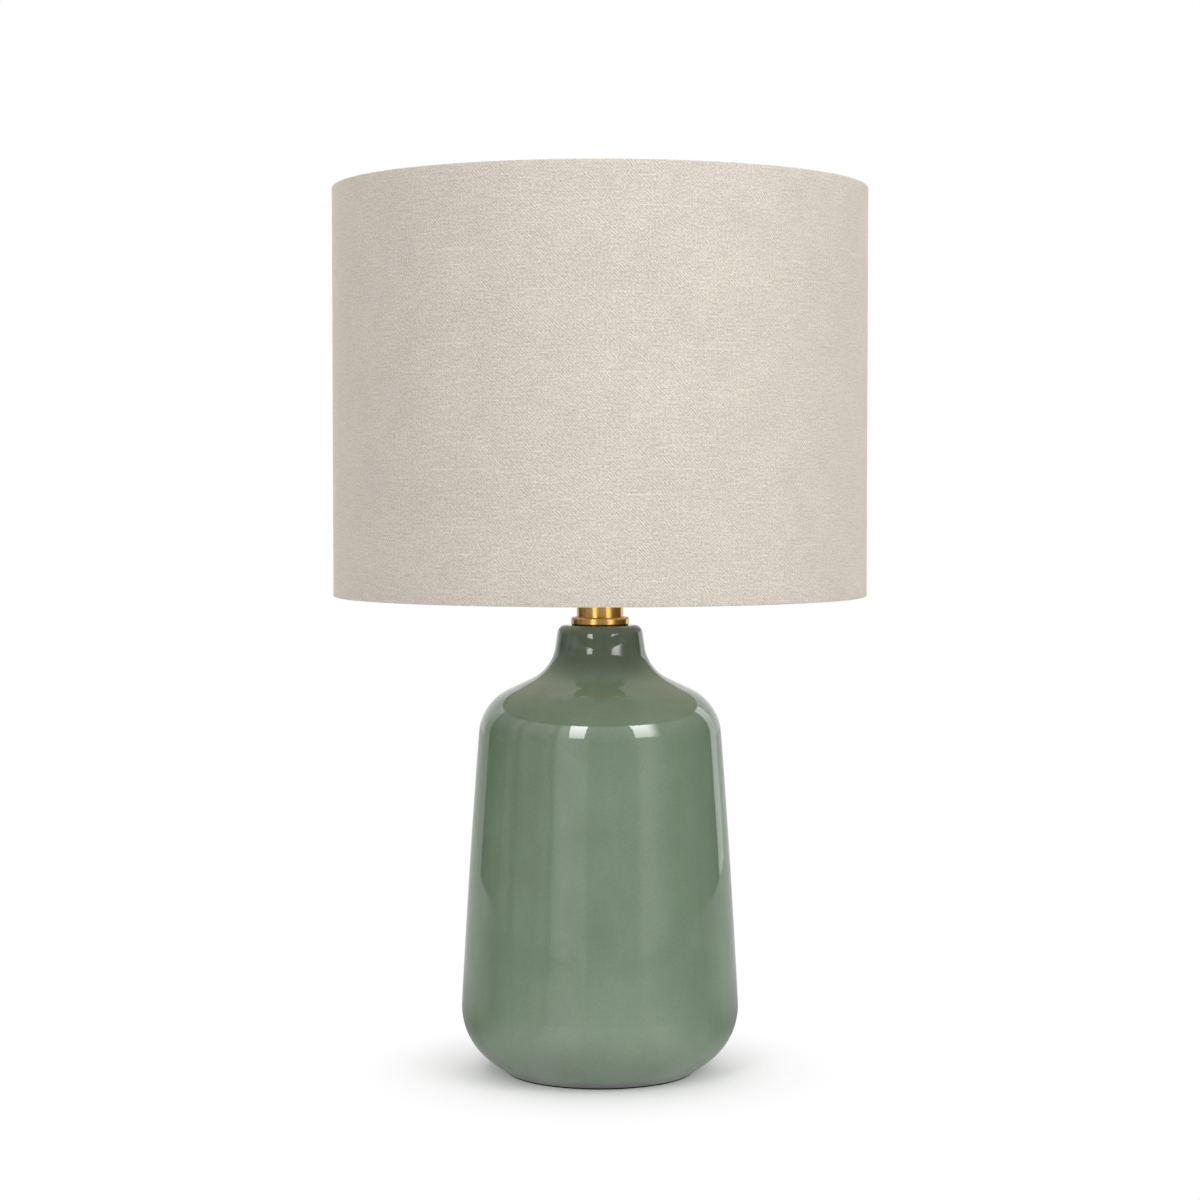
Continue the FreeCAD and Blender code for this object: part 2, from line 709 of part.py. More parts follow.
# Harp: one wire from pin to pin, up round the bulb, with a stud block threaded on its top
wire_level = rest_level - mm.stud_rest_thickness - mm.stud_block_height / 2
leg_top = pin_top + mm.harp_leg_length
harp_half = [
    Stop(mm.harp_foot_reach, pin_top),
    right(mm.harp_foot_reach + mm.harp_leg_round, leg_top, mm.harp_leg_round),
    left(mm.harp_belly_reach - mm.harp_belly_round, saddle_top + mm.harp_belly_rise, mm.harp_belly_round),
    left(mm.harp_top_reach - mm.harp_top_round, wire_level - mm.harp_top_round, mm.harp_top_round)]
harp_mirror = [Stop(-stop.across, stop.up, stop.radius, stop.turn) for stop in reversed(harp_half)]
bent_wire("harp_loop", harp_half + harp_mirror, mm.harp_wire_radius)
for side, reach in (("right", mm.harp_foot_reach), ("left", -mm.harp_foot_reach)):
    bore = mm.harp_wire_radius + mm.sleeve_clearance
    outside = bore + mm.sleeve_wall
    foot = tab_top + mm.seat_gap
    sleeve = turned("harp_sleeve_" + side, [
        Stop(bore, foot),
        left(outside - mm.sleeve_round, foot + mm.sleeve_round, mm.sleeve_round),
        left(outside - mm.sleeve_round, foot + mm.sleeve_length - mm.sleeve_round, mm.sleeve_round),
        Stop(bore, foot + mm.sleeve_length)])
    place(sleeve, across=reach)
block_foot = wire_level - mm.stud_block_height / 2
block_top = wire_level + mm.stud_block_height / 2
post_top = rest_level + mm.stud_post_length
stud = turned("harp_stud", [
    Stop(ZERO, block_foot),
    Stop(mm.stud_block_radius - mm.stud_chamfer, block_foot),
    Stop(mm.stud_block_radius, block_foot + mm.stud_chamfer),
    Stop(mm.stud_block_radius, block_top),
    Stop(mm.stud_rest_radius - mm.stud_chamfer, block_top),
    Stop(mm.stud_rest_radius, block_top + mm.stud_chamfer),
    Stop(mm.stud_rest_radius, rest_level),
    Stop(mm.stud_post_radius, rest_level),
    Stop(mm.stud_post_radius, post_top - mm.stud_chamfer),
    Stop(mm.stud_post_radius - mm.stud_chamfer, post_top),
    Stop(ZERO, post_top)])
block_reach = mm.stud_block_radius + mm.overrun
bored(stud, "wire_hole", "YZ_Plane", ZERO, wire_level, mm.harp_wire_radius + mm.stud_wire_clearance,
      block_reach * 2, start=block_reach)

# Socket cap with its set screw
cap_inside = mm.socket_cap_radius - mm.socket_cap_wall
cap_bend_reach = mm.socket_cap_radius - mm.socket_cap_round
cap_bend_level = hub_top + mm.socket_cap_round
screw_level = saddle_top + mm.socket_hub_height / 2
socket_cap = turned("socket_cap", [
    Stop(tube_hole, saddle_top),
    Stop(mm.socket_hub_radius, saddle_top),
    Stop(mm.socket_hub_radius, hub_top),
    left(cap_bend_reach, cap_bend_level, mm.socket_cap_round),
    Stop(mm.socket_cap_radius, cap_top),
    Stop(cap_inside, cap_top),
    right(cap_bend_reach, cap_bend_level, mm.socket_cap_round - mm.socket_cap_wall),
    Stop(tube_hole, hub_top + mm.socket_cap_wall)])
bored(socket_cap, "set_screw_hole", "XZ_Plane", ZERO, screw_level, mm.set_screw_radius + mm.set_screw_clearance,
      mm.socket_cap_radius)


def slotted_screw(label, radius, length, slot):
    """A slotted screw head or stub, upright, its slot across its top."""
    stub = rod(label + "_stub", radius, length)
    cutter = doc.addObject("Part::Box", label + "_slot")
    cutter.setExpression("Length", (radius * 2 + mm.overrun * 2).formula)
    cutter.setExpression("Width", slot.formula)
    cutter.setExpression("Height", (slot + mm.overrun).formula)
    place(cutter, across=-(radius + mm.overrun), back=-slot / 2, up=length - slot)
    return cut(label, stub, cutter)


BACKWARD = FreeCAD.Rotation(FreeCAD.Vector(1, 0, 0), -90.0)
FORWARD = FreeCAD.Rotation(FreeCAD.Vector(1, 0, 0), 90.0)
set_screw_length = mm.socket_hub_radius - tube_hole + mm.set_screw_head
set_screw = slotted_screw("socket_set_screw", mm.set_screw_radius, set_screw_length, mm.set_screw_slot)
set_screw.Placement = FreeCAD.Placement(FreeCAD.Vector(), BACKWARD)
place(set_screw, back=tube_hole, up=screw_level)

# Socket shell and the paper insulator inside it, both slotted for the switch shaft
shell_inside = mm.socket_shell_radius - mm.socket_shell_wall
socket_shell = turned("socket_shell", [
    Stop(shell_inside, shell_foot),
    Stop(mm.socket_shell_radius, shell_foot),
    left(mm.socket_shell_radius - mm.socket_shell_round, shell_top - mm.socket_shell_round, mm.socket_shell_round),
    Stop(shell_inside - mm.socket_shell_lip, shell_top),
    Stop(shell_inside - mm.socket_shell_lip, shell_top - mm.socket_shell_wall),
    Stop(shell_inside, shell_top - mm.socket_shell_wall)])
insulator_top = shell_top - mm.socket_shell_wall - mm.socket_gap
socket_insulator = turned("socket_insulator", ring_stops(
    insulator_radius - mm.insulator_wall, insulator_radius, shell_foot, insulator_top))

# Switch body: the moulded core that carries the contacts
waist_radius = switch_radius - mm.switch_body_step
switch_body = turned("switch_body", [
    Stop(ZERO, shell_foot),
    Stop(waist_radius, shell_foot),
    Stop(waist_radius, shell_foot + mm.switch_step_height),
    Stop(switch_radius, shell_foot + mm.switch_step_height),
    Stop(switch_radius, switch_top),
    Stop(ZERO, switch_top)])
for piece, name in ((socket_shell, "shell"), (socket_insulator, "insulator"), (switch_body, "switch")):
    depth = mm.shaft_depth + mm.shaft_clearance if piece is switch_body else mm.socket_shell_lip * 2
    inner = switch_radius - depth
    bored(piece, name + "_shaft_hole", "XZ_Plane", ZERO, shaft_level, shaft_hole,
          mm.socket_shell_radius - inner + mm.overrun, start=inner, backwards=True)
for side, turn in (("hot", 90.0), ("neutral", -90.0)):
    screw = slotted_screw("terminal_screw_" + side, mm.terminal_radius, mm.terminal_head, mm.terminal_slot)
    screw.Placement = FreeCAD.Placement(FreeCAD.Vector(), FreeCAD.Rotation(FreeCAD.Vector(0, 1, 0), turn))
    reach = waist_radius + mm.socket_gap
    place(screw, across=reach if turn > 0 else -reach, up=shell_foot + mm.terminal_rise)

# Screw shell and centre contact on top of the switch body
screw_shell_inside = mm.screw_shell_radius - mm.screw_shell_wall
screw_shell_top = switch_top + mm.screw_shell_length
turned("screw_shell", [
    Stop(mm.screw_shell_hole, switch_top),
    Stop(mm.screw_shell_radius, switch_top),
    Stop(mm.screw_shell_radius, screw_shell_top),
    Stop(screw_shell_inside, screw_shell_top),
    Stop(screw_shell_inside, switch_top + mm.screw_shell_wall),
    Stop(mm.screw_shell_hole, switch_top + mm.screw_shell_wall)])
turned("centre_contact", [
    Stop(ZERO, switch_top),
    Stop(mm.contact_radius, switch_top),
    left(mm.contact_radius - mm.contact_round, contact_top - mm.contact_round, mm.contact_round),
    Stop(ZERO, contact_top)])

# Switch shaft and its fluted knob, made upright and laid forward
shaft_foot = switch_radius - mm.shaft_depth
knob_foot = mm.socket_shell_radius + mm.knob_gap
knob_top = knob_foot + mm.knob_collar_length + mm.knob_length
shaft = turned("switch_shaft", ring_stops(ZERO, mm.shaft_radius, shaft_foot, knob_foot + mm.shaft_grip))
knob_bore = mm.shaft_radius + mm.knob_fit_clearance
knob_shoulder = knob_foot + mm.knob_collar_length
knob = turned("switch_knob", [
    Stop(knob_bore, knob_foot),
    Stop(mm.knob_collar_radius, knob_foot),
    Stop(mm.knob_collar_radius, knob_shoulder),
    left(mm.knob_radius - mm.knob_round, knob_shoulder + mm.knob_round, mm.knob_round),
    left(mm.knob_radius - mm.knob_round, knob_top - mm.knob_round, mm.knob_round),
    Stop(ZERO, knob_top),
    Stop(ZERO, knob_foot + mm.shaft_grip + mm.knob_fit_clearance),
    Stop(knob_bore, knob_foot + mm.shaft_grip + mm.knob_fit_clearance)])
flute = bored(knob, "flute", "XY_Plane", mm.knob_radius, ZERO, mm.knob_flute_radius,
              mm.knob_length + mm.overrun * 2, start=knob_top + mm.overrun)
repeated(knob, "flutes", flute, FLUTE_COUNT)
for piece in (shaft, knob):
    piece.Placement = FreeCAD.Placement(FreeCAD.Vector(), FORWARD)
    place(piece, up=shaft_level)

# Bulb: contact button with its glass seat, screw cap, collar and frosted dome
bulb_foot = contact_top + mm.bulb_clearance
seat_foot = bulb_foot + mm.bulb_button_height
bulb_cap_foot = seat_foot + mm.bulb_seat_height
collar_foot = bulb_cap_foot + mm.bulb_cap_length
dome_foot = collar_foot + mm.bulb_collar_length
dome_middle = dome_foot + mm.bulb_dome_rise
turned("bulb_contact", [
    Stop(ZERO, bulb_foot),
    left(mm.bulb_button_radius - mm.bulb_button_round, bulb_foot + mm.bulb_button_round, mm.bulb_button_round),
    Stop(mm.bulb_button_radius, seat_foot),
    Stop(mm.bulb_seat_radius, bulb_cap_foot),
    Stop(ZERO, bulb_cap_foot)])
turned("bulb_cap", [
    Stop(ZERO, bulb_cap_foot),
    Stop(mm.bulb_seat_radius, bulb_cap_foot),
    left(mm.bulb_cap_radius - mm.bulb_cap_round, bulb_cap_foot + mm.bulb_cap_round * 2, mm.bulb_cap_round),
    Stop(mm.bulb_cap_radius, collar_foot),
    Stop(ZERO, collar_foot)])
turned("bulb_collar", [
    Stop(ZERO, collar_foot),
    Stop(mm.bulb_collar_foot_radius, collar_foot),
    Stop(mm.bulb_collar_foot_radius, collar_foot + mm.bulb_collar_foot_height, swell=mm.bulb_collar_swell),
    Stop(mm.bulb_collar_radius, dome_foot),
    Stop(ZERO, dome_foot)])
dome_inside = mm.bulb_dome_radius - mm.bulb_dome_wall
turned("bulb_dome", [
    Stop(mm.bulb_collar_radius - mm.bulb_dome_wall, dome_foot),
    Stop(mm.bulb_collar_radius, dome_foot, swell=mm.bulb_neck_swell),
    Stop(mm.bulb_dome_radius, dome_middle, swell=mm.bulb_dome_radius),
    Stop(ZERO, dome_middle + mm.bulb_dome_radius),
    Stop(ZERO, dome_middle + dome_inside, turn=-1, swell=dome_inside),
    Stop(dome_inside, dome_middle, turn=-1, swell=mm.bulb_neck_swell - mm.bulb_dome_wall)])

# Shade: wire rings at both edges, a stiff lining, and linen whose hems turn in round the rings
FACING_FIRST_ARM = FreeCAD.Placement(FreeCAD.Vector(), FreeCAD.Rotation(UP, FIRST_ARM_ANGLE))
lining_foot = shade_foot + mm.linen_thickness + mm.shade_gap
lining_top = shade_top - mm.linen_thickness - mm.shade_gap
turned("shade_lining", ring_stops(lining_inside, lining_radius, lining_foot, lining_top))
for label, level in (("top_ring", ring_level), ("bottom_ring", shade_foot + (shade_top - ring_level))):
    ring = new_body(label)
    section = new_sketch(ring, label + "_section", "XZ_Plane")
    draw_circle(section, ring_reach, level, mm.ring_wire_radius)
    spun(ring, label, section)
    ring.Placement = FACING_FIRST_ARM
    keep(ring, label)
tail_back = lining_inside - mm.shade_gap
tail_front = tail_back - mm.linen_thickness
tail_bend_level = ring_level - ring_wrap - mm.linen_thickness - mm.hem_bend - mm.hem_straight
tail_foot = tail_bend_level - mm.hem_tail_length
hem = [
    left(mm.shade_radius - mm.hem_corner, shade_top - mm.hem_corner, mm.hem_corner),
    left(ring_reach, ring_level, ring_wrap + mm.linen_thickness),
    right(tail_front - mm.hem_bend, tail_bend_level, mm.hem_bend),
    Stop(tail_front, tail_foot),
    Stop(tail_back, tail_foot),
    left(tail_front - mm.hem_bend, tail_bend_level, mm.hem_bend + mm.linen_thickness),
    right(ring_reach, ring_level, ring_wrap),
    Stop(mm.shade_radius - mm.linen_thickness, shade_top - mm.linen_thickness)]
lower_hem = [Stop(stop.across, shade_foot + shade_top - stop.up, stop.radius, stop.turn) for stop in reversed(hem)]
linen = turned("shade_fabric", hem + lower_hem)
notch = bored(linen, "arm_notch", "YZ_Plane", ZERO, ring_level,
              mm.spider_wire_radius + mm.spider_notch_clearance, ring_reach, backwards=True)
repeated(linen, "arm_notches", notch, ARM_COUNT)
linen.Placement = FACING_FIRST_ARM

# Spider: a hub washer on the harp's stud and three cranked arms that carry the top ring
turned("spider_hub", [
    Stop(mm.hub_hole_radius, spider_hub_foot),
    left(mm.hub_radius - mm.hub_round, spider_hub_foot + mm.hub_round, mm.hub_round),
    left(mm.hub_radius - mm.hub_round, spider_hub_top - mm.hub_round, mm.hub_round),
    Stop(mm.hub_hole_radius, spider_hub_top)])
arm_end = ring_reach - mm.ring_wire_radius - mm.spider_end_gap
upper_crank = arm_end - mm.spider_shoulder
for number in range(ARM_COUNT):
    bent_wire("spider_arm_%d" % (number + 1), [
        Stop(mm.hub_radius + mm.shade_gap, spider_level),
        left(upper_crank - mm.spider_run, spider_level + mm.spider_bend, mm.spider_bend),
        right(upper_crank, ring_level - mm.spider_bend, mm.spider_bend),
        Stop(arm_end, ring_level)], mm.spider_wire_radius, spin=FIRST_ARM_ANGLE + number * 360.0 / ARM_COUNT)

# Finial, screwed on the stud over the hub
finial_foot = spider_hub_top + mm.seat_gap
finial_bore = mm.stud_post_radius + mm.finial_bore_clearance
finial_step = finial_foot + mm.finial_foot_height
finial_waist_top = finial_step + mm.finial_waist_height
finial_middle = finial_waist_top + mm.finial_ball_rise
turned("finial", [
    Stop(finial_bore, finial_foot),
    left(mm.finial_foot_radius - mm.finial_round, finial_foot + mm.finial_round, mm.finial_round),
    left(mm.finial_foot_radius - mm.finial_round, finial_step - mm.finial_round, mm.finial_round),
    Stop(mm.finial_waist_radius, finial_step),
    Stop(mm.finial_waist_radius, finial_waist_top, swell=mm.finial_ball_radius),
    Stop(mm.finial_ball_radius, finial_middle, swell=mm.finial_ball_radius),
    Stop(ZERO, finial_middle + mm.finial_ball_radius),
    Stop(ZERO, finial_foot + mm.finial_bore_depth),
    Stop(finial_bore, finial_foot + mm.finial_bore_depth)])

# Every piece is checked, then written under its own name
doc.recompute()
for item in doc.Objects:
    if "Invalid" in item.State or "Error" in item.State:
        raise RuntimeError("%s did not build: %s" % (item.Label, item.State))
os.makedirs("parts", exist_ok=True)
for item in parts:
    shape = item.Shape
    if shape.isNull() or not shape.isValid() or not shape.Solids:
        raise RuntimeError("%s is not a sound solid" % item.Label)
    shape.exportStep("parts/%s.step" % item.Label)
    print("%-24s %2d solids %10.1f mm3" % (item.Label, len(shape.Solids), shape.Volume))
print("The lamp stands %.1f mm tall with %d pieces" % ((finial_middle + mm.finial_ball_radius).number, len(parts)))
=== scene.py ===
# %% [markdown]
# # A ceramic table lamp, dressed and lit
# The lamp's solid pieces arrive ready made, at their real size, with Z up and the lamp standing on the
# floor at Z = 0. This lesson gives each piece the finish of the real one, makes the two cloth pieces that
# solids only stand in for, and then builds a small studio round the lamp.

import cmath
import math

import bmesh
import bpy
import numpy as np
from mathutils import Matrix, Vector


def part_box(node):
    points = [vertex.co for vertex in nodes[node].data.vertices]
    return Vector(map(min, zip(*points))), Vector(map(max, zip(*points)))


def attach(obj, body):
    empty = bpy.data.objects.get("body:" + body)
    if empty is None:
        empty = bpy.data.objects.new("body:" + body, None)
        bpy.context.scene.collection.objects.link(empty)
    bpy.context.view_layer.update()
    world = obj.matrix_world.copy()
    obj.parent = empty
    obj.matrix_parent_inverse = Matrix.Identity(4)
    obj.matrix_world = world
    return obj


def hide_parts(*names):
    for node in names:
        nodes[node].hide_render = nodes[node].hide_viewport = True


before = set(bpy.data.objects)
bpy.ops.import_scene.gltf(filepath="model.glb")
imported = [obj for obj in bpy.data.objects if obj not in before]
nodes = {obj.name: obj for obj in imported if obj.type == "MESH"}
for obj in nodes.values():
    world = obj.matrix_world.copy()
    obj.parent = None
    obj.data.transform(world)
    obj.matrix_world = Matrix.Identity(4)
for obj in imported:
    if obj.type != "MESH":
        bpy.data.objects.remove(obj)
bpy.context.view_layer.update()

# %% [markdown]
# ## The camera
# A product picture like this one is taken from a little above the middle of the lamp with a long lens, so
# the drum shade stays almost a rectangle. The lens comes from how much the shade's two edges curve in the
# picture: the further the camera, the flatter they are. A camera that is moved back and zoomed in would
# flatten them too much.

# %% Place the camera
CAMERA_DISTANCE = 1.8155
CAMERA_HEIGHT = 0.3954
CAMERA_DIP = 0.0432
LENS = 81.35


def put_in_scene(name, data):
    """A new object in the scene, made of this mesh, light or camera."""
    thing = bpy.data.objects.new(name, data)
    bpy.context.scene.collection.objects.link(thing)
    return thing


camera = put_in_scene("studio_camera", bpy.data.cameras.new("studio_camera"))
camera.data.lens = LENS
camera.location = (0, -CAMERA_DISTANCE, CAMERA_HEIGHT)
camera.rotation_euler = (math.pi / 2 - CAMERA_DIP, 0, 0)
bpy.context.scene.camera = camera
bpy.context.scene.view_settings.view_transform = "Standard"
print("Camera", CAMERA_DISTANCE, "m in front of the lamp, looking",
      round(math.degrees(CAMERA_DIP), 1), "degrees down")

# %% [markdown]
# ## Tools for finishes
# Colours are written as sRGB hex values, as a painter or a web page gives them, but a renderer adds up
# light, so one function turns them into linear values. Finishes are node trees. One function adds a node
# with its settings and its links, so that a finish reads as a list of steps.

# %% Colour and node helpers


def linear(hex_code):
    """A hex colour as linear red, green, blue and alpha."""
    channels = [int(hex_code[start:start + 2], 16) / 255 for start in (1, 3, 5)]
    return [c / 12.92 if c <= 0.04045 else ((c + 0.055) / 1.055) ** 2.4 for c in channels] + [1.0]


def feed(tree, node, inputs):
    """Gives a node's sockets their values, or a link where the value is another node's output."""
    for socket, value in inputs.items():
        if isinstance(value, bpy.types.NodeSocket):
            tree.links.new(value, node.inputs[socket])
        else:
            node.inputs[socket].default_value = value


def add(tree, kind, inputs, **settings):
    """Adds one node with its settings, feeds it, and returns its outputs."""
    node = tree.nodes.new("ShaderNode" + kind)
    for name, value in settings.items():
        setattr(node, name, value)
    feed(tree, node, inputs)
    return node.outputs


def new_finish(name):
    """An empty finish: the material, its tree, its main shader and the place on the lamp in metres."""
    material = bpy.data.materials.new(name)
    material.use_nodes = True
    tree = material.node_tree
    place = add(tree, "TexCoord", {})["Object"]
    return material, tree, tree.nodes["Principled BSDF"], place


MM = 0.001
print("Middle grey, #808080, is", round(linear("#808080")[0], 3), "in linear light")

# %% [markdown]
# ## Glaze on stoneware
# The base is slip-cast stoneware, dipped in a sage green glaze and fired. The fired glaze is a glass
# about half a millimetre thick over a pale body. It could be drawn as two layers, but the body is only
# seen as colour, so one glossy shader with the refractive index of glass does the same. What the eye gets
# from the process: soft clouds where the glaze lies thicker, faint runs down the side, fine specks, and a
# surface that is smooth to the touch but a little wavy, so that reflections of straight things bend. On
# top of that, the colour is painted darker in the hollow of the neck, for the drum's shade, and towards the
# foot, for the shade where it meets the floor.

# %% Sage glaze
CLOUD = 45 * MM
RUN = 9 * MM
RUN_STRETCH = 0.12
SPECK = 1.6 * MM
WAVE = 38 * MM
WAVE_DEPTH = 0.07 * MM
NECK_FOOT = 263 * MM
NECK_RISE = 16 * MM
NECK_SHADE = 0.62
FOOT_LOW = 2 * MM
FOOT_HIGH = 30 * MM
FOOT_SHADE = 0.84

sage_glaze, tree, shader, place = new_finish("sage_gloss_glaze")
cloud = add(tree, "TexNoise", {"Vector": place, "Scale": 1 / CLOUD, "Detail": 3.0, "Roughness": 0.55})["Fac"]
stretched = add(tree, "Mapping", {"Vector": place, "Scale": (1.0, 1.0, RUN_STRETCH)})["Vector"]
run = add(tree, "TexNoise", {"Vector": stretched, "Scale": 1 / RUN, "Detail": 2.0})["Fac"]
speck = add(tree, "TexNoise", {"Vector": place, "Scale": 1 / SPECK, "Detail": 2.0, "Roughness": 0.7})["Fac"]
clouded = add(tree, "MapRange", {"Value": cloud, "From Min": 0.3, "From Max": 0.7})["Result"]
glaze = add(tree, "Mix", {0: clouded, 6: linear("#71846E"), 7: linear("#798D76")}, data_type="RGBA")[2]
specked = add(tree, "MapRange", {"Value": speck, "From Min": 0.25, "From Max": 0.75, "To Min": 0.93,
                                 "To Max": 1.07})["Result"]
running = add(tree, "MapRange", {"Value": run, "From Min": 0.3, "From Max": 0.7, "To Min": 0.975,
                                 "To Max": 1.025})["Result"]
tone_and_painted_shade = add(tree, "Math", {0: specked, 1: running}, operation="MULTIPLY")["Value"]
level = add(tree, "SeparateXYZ", {"Vector": place})["Z"]
# Painted shade: the colour darkens up into the hollow of the neck, under the drum, and down towards the
# foot.
painted_neck_shade = add(tree, "MapRange", {"Value": level, "From Min": NECK_FOOT, "From Max": NECK_FOOT + NECK_RISE,
                                "To Min": 1.0, "To Max": NECK_SHADE},
             interpolation_type="SMOOTHSTEP")["Result"]
painted_foot_shade = add(tree, "MapRange", {"Value": level, "From Min": FOOT_LOW, "From Max": FOOT_HIGH,
                                "To Min": FOOT_SHADE})["Result"]
# Speck and run tone, times the two painted shades.
for share in (painted_neck_shade, painted_foot_shade):
    tone_and_painted_shade = add(tree, "Math", {0: tone_and_painted_shade, 1: share}, operation="MULTIPLY")["Value"]
tinted = add(tree, "VectorMath", {0: glaze, "Scale": tone_and_painted_shade}, operation="SCALE")["Vector"]
wave = add(tree, "TexNoise", {"Vector": place, "Scale": 1 / WAVE, "Detail": 1.0})["Fac"]
wavy = add(tree, "Bump", {"Height": wave, "Strength": 1.0, "Distance": WAVE_DEPTH})["Normal"]
feed(tree, shader, {"Base Color": tinted, "Normal": wavy, "Roughness": 0.01, "IOR": 1.52})
print("Glaze clouds", CLOUD / MM, "mm across")

# %% [markdown]
# ## Linen, woven
# The shade is covered with oatmeal linen, a fabric of uneven flax threads. Its yarn is thicker here and
# thinner there, so the weave shows short slubs, most of them along the weft that runs round the drum, and
# here and there a thread that stays thick for some centimetres. The threads lie in slanting ribs about
# two millimetres apart. Drawing them as real threads would take millions of faces. Instead the cloth
# mesh, made below, carries its own flat coordinates in metres, and the ribs, threads and slubs are drawn
# on those, as they are in the cloth before it is hung. Single threads are about 0.5 mm, too fine for this
# picture, so they are drawn 1.1 mm wide.

# %% Linen weave
RIB = 2.1 * MM
THREAD = 1.1 * MM
SLUB_LENGTH = 14 * MM
SLUB_HEIGHT = 1.0 * MM
LONG_SLUB = 60 * MM
SWAY = 7 * MM
SWAY_REACH = 2.4 * MM
FLECK = 1.3 * MM
TIGHT_PATCH = 8 * MM
PATCH = 34 * MM
TURN = 2 * math.pi

oatmeal_linen, tree, shader, place = new_finish("oatmeal_linen")
cloth = add(tree, "UVMap", {})["UV"]
sway = add(tree, "TexNoise", {"Vector": cloth, "Scale": 1 / SWAY, "Detail": 2.0})["Color"]
centred = add(tree, "VectorMath", {0: sway, 1: (0.5, 0.5, 0.5)}, operation="SUBTRACT")["Vector"]
swaying = add(tree, "VectorMath", {0: centred, "Scale": SWAY_REACH}, operation="SCALE")["Vector"]
woven = add(tree, "VectorMath", {0: cloth, 1: swaying}, operation="ADD")["Vector"]
across = add(tree, "SeparateXYZ", {"Vector": woven})
slant = add(tree, "Math", {0: across["X"], 1: across["Y"]}, operation="ADD")["Value"]
rib_phase = add(tree, "Math", {0: slant, 1: TURN / RIB}, operation="MULTIPLY")["Value"]
rib = add(tree, "Math", {0: rib_phase}, operation="SINE")["Value"]
weft_phase = add(tree, "Math", {0: across["Y"], 1: TURN / THREAD}, operation="MULTIPLY")["Value"]
weft = add(tree, "Math", {0: weft_phase}, operation="SINE")["Value"]
weft_scale = (1 / SLUB_LENGTH, 1 / SLUB_HEIGHT, 1.0)
along_weft = add(tree, "Mapping", {"Vector": cloth, "Scale": weft_scale})["Vector"]
slub = add(tree, "TexNoise", {"Vector": along_weft, "Scale": 1.0, "Detail": 2.0, "Roughness": 0.6})["Fac"]
long_scale = (1 / LONG_SLUB, 1 / SLUB_HEIGHT, 1.0)
long_way = add(tree, "Mapping", {"Vector": cloth, "Scale": long_scale})["Vector"]
streak = add(tree, "TexNoise", {"Vector": long_way, "Scale": 1.0, "Detail": 1.0})["Fac"]
long_slub = add(tree, "MapRange", {"Value": streak, "From Min": 0.64, "From Max": 0.78})["Result"]
warp_scale = (1 / SLUB_HEIGHT, 1 / SLUB_LENGTH, 1.0)
along_warp = add(tree, "Mapping", {"Vector": cloth, "Scale": warp_scale})["Vector"]
warp_slub = add(tree, "TexNoise", {"Vector": along_warp, "Scale": 1.0, "Detail": 2.0, "Roughness": 0.6})
warp_slub = warp_slub["Fac"]
fleck = add(tree, "TexNoise", {"Vector": cloth, "Scale": 1 / FLECK, "Detail": 1.0})["Fac"]
tightness = add(tree, "TexNoise", {"Vector": cloth, "Scale": 1 / TIGHT_PATCH, "Detail": 2.0})["Fac"]
distinct = add(tree, "MapRange", {"Value": tightness, "From Min": 0.35, "From Max": 0.6})["Result"]
rib = add(tree, "Math", {0: rib, 1: distinct}, operation="MULTIPLY")["Value"]
patch = add(tree, "TexNoise", {"Vector": cloth, "Scale": 1 / PATCH, "Detail": 3.0})["Fac"]
print("Linen ribs", RIB / MM, "mm apart, slubs", SLUB_LENGTH / MM, "mm long")

# %% [markdown]
# The height of the threads drives both colour and bump: a thread that stands up is lighter, because it
# catches the light, and the gap beside it is darker. Soft patches, where the dye took less, come on top.
# Loose fibres stand out from the cloth and catch light where it turns away at the drum's two sides, which
# is what sheen is for.

# %% Linen colour and relief
RIB_SHARE = 0.38
WEFT_SHARE = 0.08
SLUB_SHARE = 0.9
WARP_SLUB_SHARE = 0.5
FLECK_SHARE = 1.8
LONG_SLUB_SHARE = 0.45
RELIEF_DEPTH = 0.22 * MM

parts_of_relief = ((rib, RIB_SHARE), (weft, WEFT_SHARE), (slub, SLUB_SHARE),
                   (warp_slub, WARP_SLUB_SHARE), (fleck, FLECK_SHARE), (long_slub, LONG_SLUB_SHARE))
relief = add(tree, "Value", {})["Value"]
relief.default_value = 0.5 - 0.5 * (SLUB_SHARE + WARP_SLUB_SHARE + FLECK_SHARE)
for height, share in parts_of_relief:
    relief = add(tree, "Math", {0: height, 1: share, 2: relief}, operation="MULTIPLY_ADD")["Value"]
threads = add(tree, "Mix", {0: relief, 6: linear("#B9ADA1"), 7: linear("#E0D8CE")}, data_type="RGBA")[2]
patched = add(tree, "MapRange", {"Value": patch, "From Min": 0.3, "From Max": 0.7, "To Min": 0.965,
                                 "To Max": 1.03})["Result"]
linen_colour = add(tree, "VectorMath", {0: threads, "Scale": patched}, operation="SCALE")["Vector"]
raised = add(tree, "Bump", {"Height": relief, "Strength": 0.6, "Distance": RELIEF_DEPTH})["Normal"]
feed(tree, shader, {"Base Color": linen_colour, "Normal": raised, "Roughness": 0.85, "IOR": 1.45,
                    "Sheen Weight": 0.62, "Sheen Roughness": 0.5, "Sheen Tint": linear("#F4E6D6")})

# %% [markdown]
# ## Brass, turned and satin finished
# The neck is solid brass, turned on a lathe and rubbed round with fine abrasive while it spun. The
# rubbing leaves grooves that run round the axis. They spread a reflection up and down but keep it narrow
# sideways, so the eye sees clear upright bands on a soft surface. The shader's anisotropy does that
# spreading: its tangent runs round Z, and a quarter turn sets the spread across the grooves. Real grooves
# are about 0.05 mm apart, the ones in the bump 0.6 mm. A clear lacquer that keeps the brass from
# tarnishing adds a paler gleam, which is the shader's coat.

# %% Turned brass
GROOVE = 0.6 * MM
GROOVE_LENGTH = 500 * MM
GROOVE_DEPTH = 0.015 * MM
HAZE = 6 * MM

